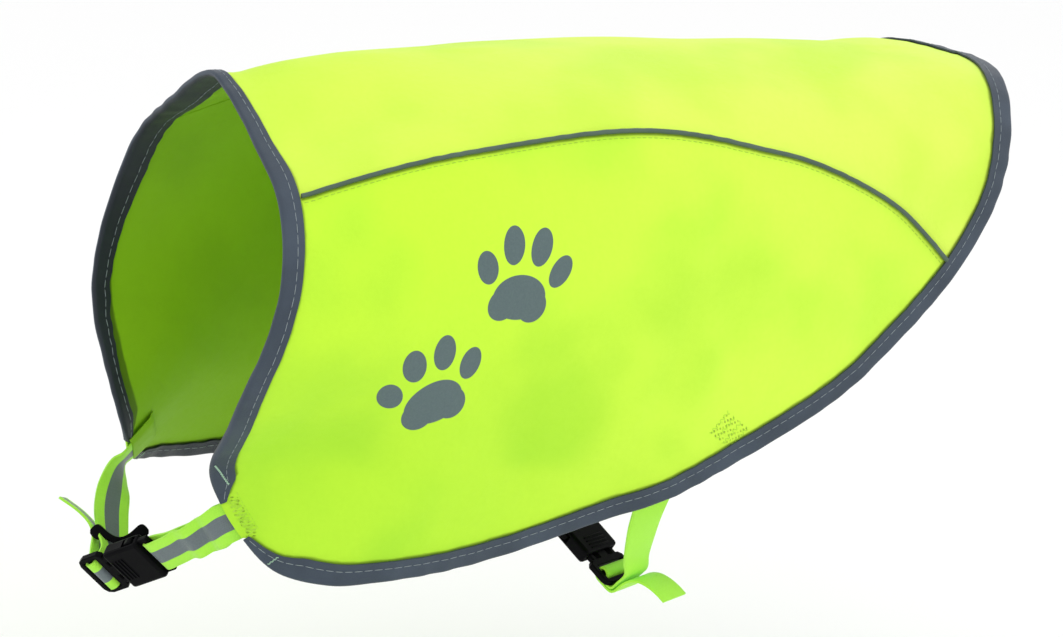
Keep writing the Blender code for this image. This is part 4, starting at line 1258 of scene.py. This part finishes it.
def grip_ribs(name, buckle, material):
    """The raised grips on both faces of a socket: one rib is modelled and copied."""
    deselect()
    bpy.ops.mesh.primitive_cube_add(size=1)
    rib = bpy.context.object
    bpy.ops.object.mode_set(mode="EDIT")
    bpy.ops.mesh.select_all(action="SELECT")
    bpy.ops.transform.resize(value=RIB_SIZE)
    bpy.ops.mesh.bevel(offset=0.35, segments=3, affect="EDGES")
    bpy.ops.object.mode_set(mode="OBJECT")
    shape = get_points(rib)
    copy_along(rib, [buckle.origin + buckle.along * (along + shape[:, :1])
                     + buckle.across * shape[:, 1:2]
                     + buckle.outward * (face * HOUSING_HIGH / 2 + shape[:, 2:])
                     for face in (-1, 1) for along in RIBS_ALONG])
    smooth_by_angle(rib, 50)
    return dress(rib, name, None, "black_plastic", material)


def make_buckles():
    black = moulded_plastic("black_plastic")
    strap_adjuster("chest_adjuster", black)
    for word, spot in (("chest", CHEST_BUCKLE), ("belly", BELLY_BUCKLE)):
        grip_ribs(f"{word}_buckle_ribs", Buckle(*spot), black)
    for node in ("chest_buckle_socket", "chest_buckle_plug", "belly_buckle_socket", "belly_buckle_plug"):
        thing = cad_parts[node]
        thing.data.materials.clear()
        thing.data.materials.append(black)


FLOOR_HEIGHT, FLOOR_SIZE = -0.42, 30
LIGHTS = (
    # name, place, power, size
    ("overhead", (0.1, -0.5, 1.9), 5, 1.8), ("front", (-0.9, -2.2, 0.9), 2.5, 1.6),
    ("rear", (1.8, -1.2, 0.9), 3.5, 1.2),
)
LIT_PLACE = Vector((0, 0, -0.1))


def make_stage():
    deselect()
    bpy.ops.mesh.primitive_plane_add(size=FLOOR_SIZE, location=(0, 0, FLOOR_HEIGHT))
    floor = bpy.context.object
    floor.name = "floor"
    looks = Looks("pale_floor", Roughness=0.9)
    floor.data.materials.append(looks.finish((0.96, 0.96, 0.96, 1)))
    world = bpy.data.worlds.new("studio")
    world.use_nodes = True
    sky = world.node_tree.nodes["Background"]
    sky.inputs["Color"].default_value = (1, 1, 1, 1)
    sky.inputs["Strength"].default_value = 1.0
    bpy.context.scene.world = world
    bpy.context.scene.view_settings.view_transform = "Standard"
    for name, spot, power, size in LIGHTS:
        bpy.ops.object.light_add(type="AREA", location=spot)
        light = bpy.context.object
        light.name = name
        light.data.energy = power
        light.data.size = size
        light.rotation_euler = (LIT_PLACE - Vector(spot)).to_track_quat("-Z", "Y").to_euler()


def make_camera():
    turn, tilt, roll = (np.radians(angle) for angle in (CAMERA_TURN, CAMERA_TILT, CAMERA_ROLL))
    right = np.array([np.cos(turn), -np.sin(turn), 0])
    back = np.array([-np.sin(turn) * np.cos(tilt), -np.cos(turn) * np.cos(tilt), np.sin(tilt)])
    up = np.cross(back, right)
    rolled_right = np.cos(roll) * right + np.sin(roll) * up
    rolled_up = np.cos(roll) * up - np.sin(roll) * right
    matrix = np.eye(4)
    matrix[:3, 0], matrix[:3, 1], matrix[:3, 2] = rolled_right, rolled_up, back
    matrix[:3, 3] = np.array(CAMERA_PLACE) - ORIGIN * MM
    lens = bpy.data.cameras.new("camera")
    lens.lens, lens.sensor_width, lens.sensor_fit = CAMERA_LENS, 36, "HORIZONTAL"
    lens.clip_start, lens.clip_end = 0.05, 60
    camera = bpy.data.objects.new("camera", lens)
    bpy.context.scene.collection.objects.link(camera)
    camera.matrix_world = Matrix(matrix.tolist())
    bpy.context.scene.camera = camera


make_camera()
make_stage()
back_piece, left_piece, right_piece = make_cloth()
neck_piece, hem_piece = make_bindings()
make_stitches()
make_corner_stitches()
make_inner_cloth()
make_straps()
make_buckles()
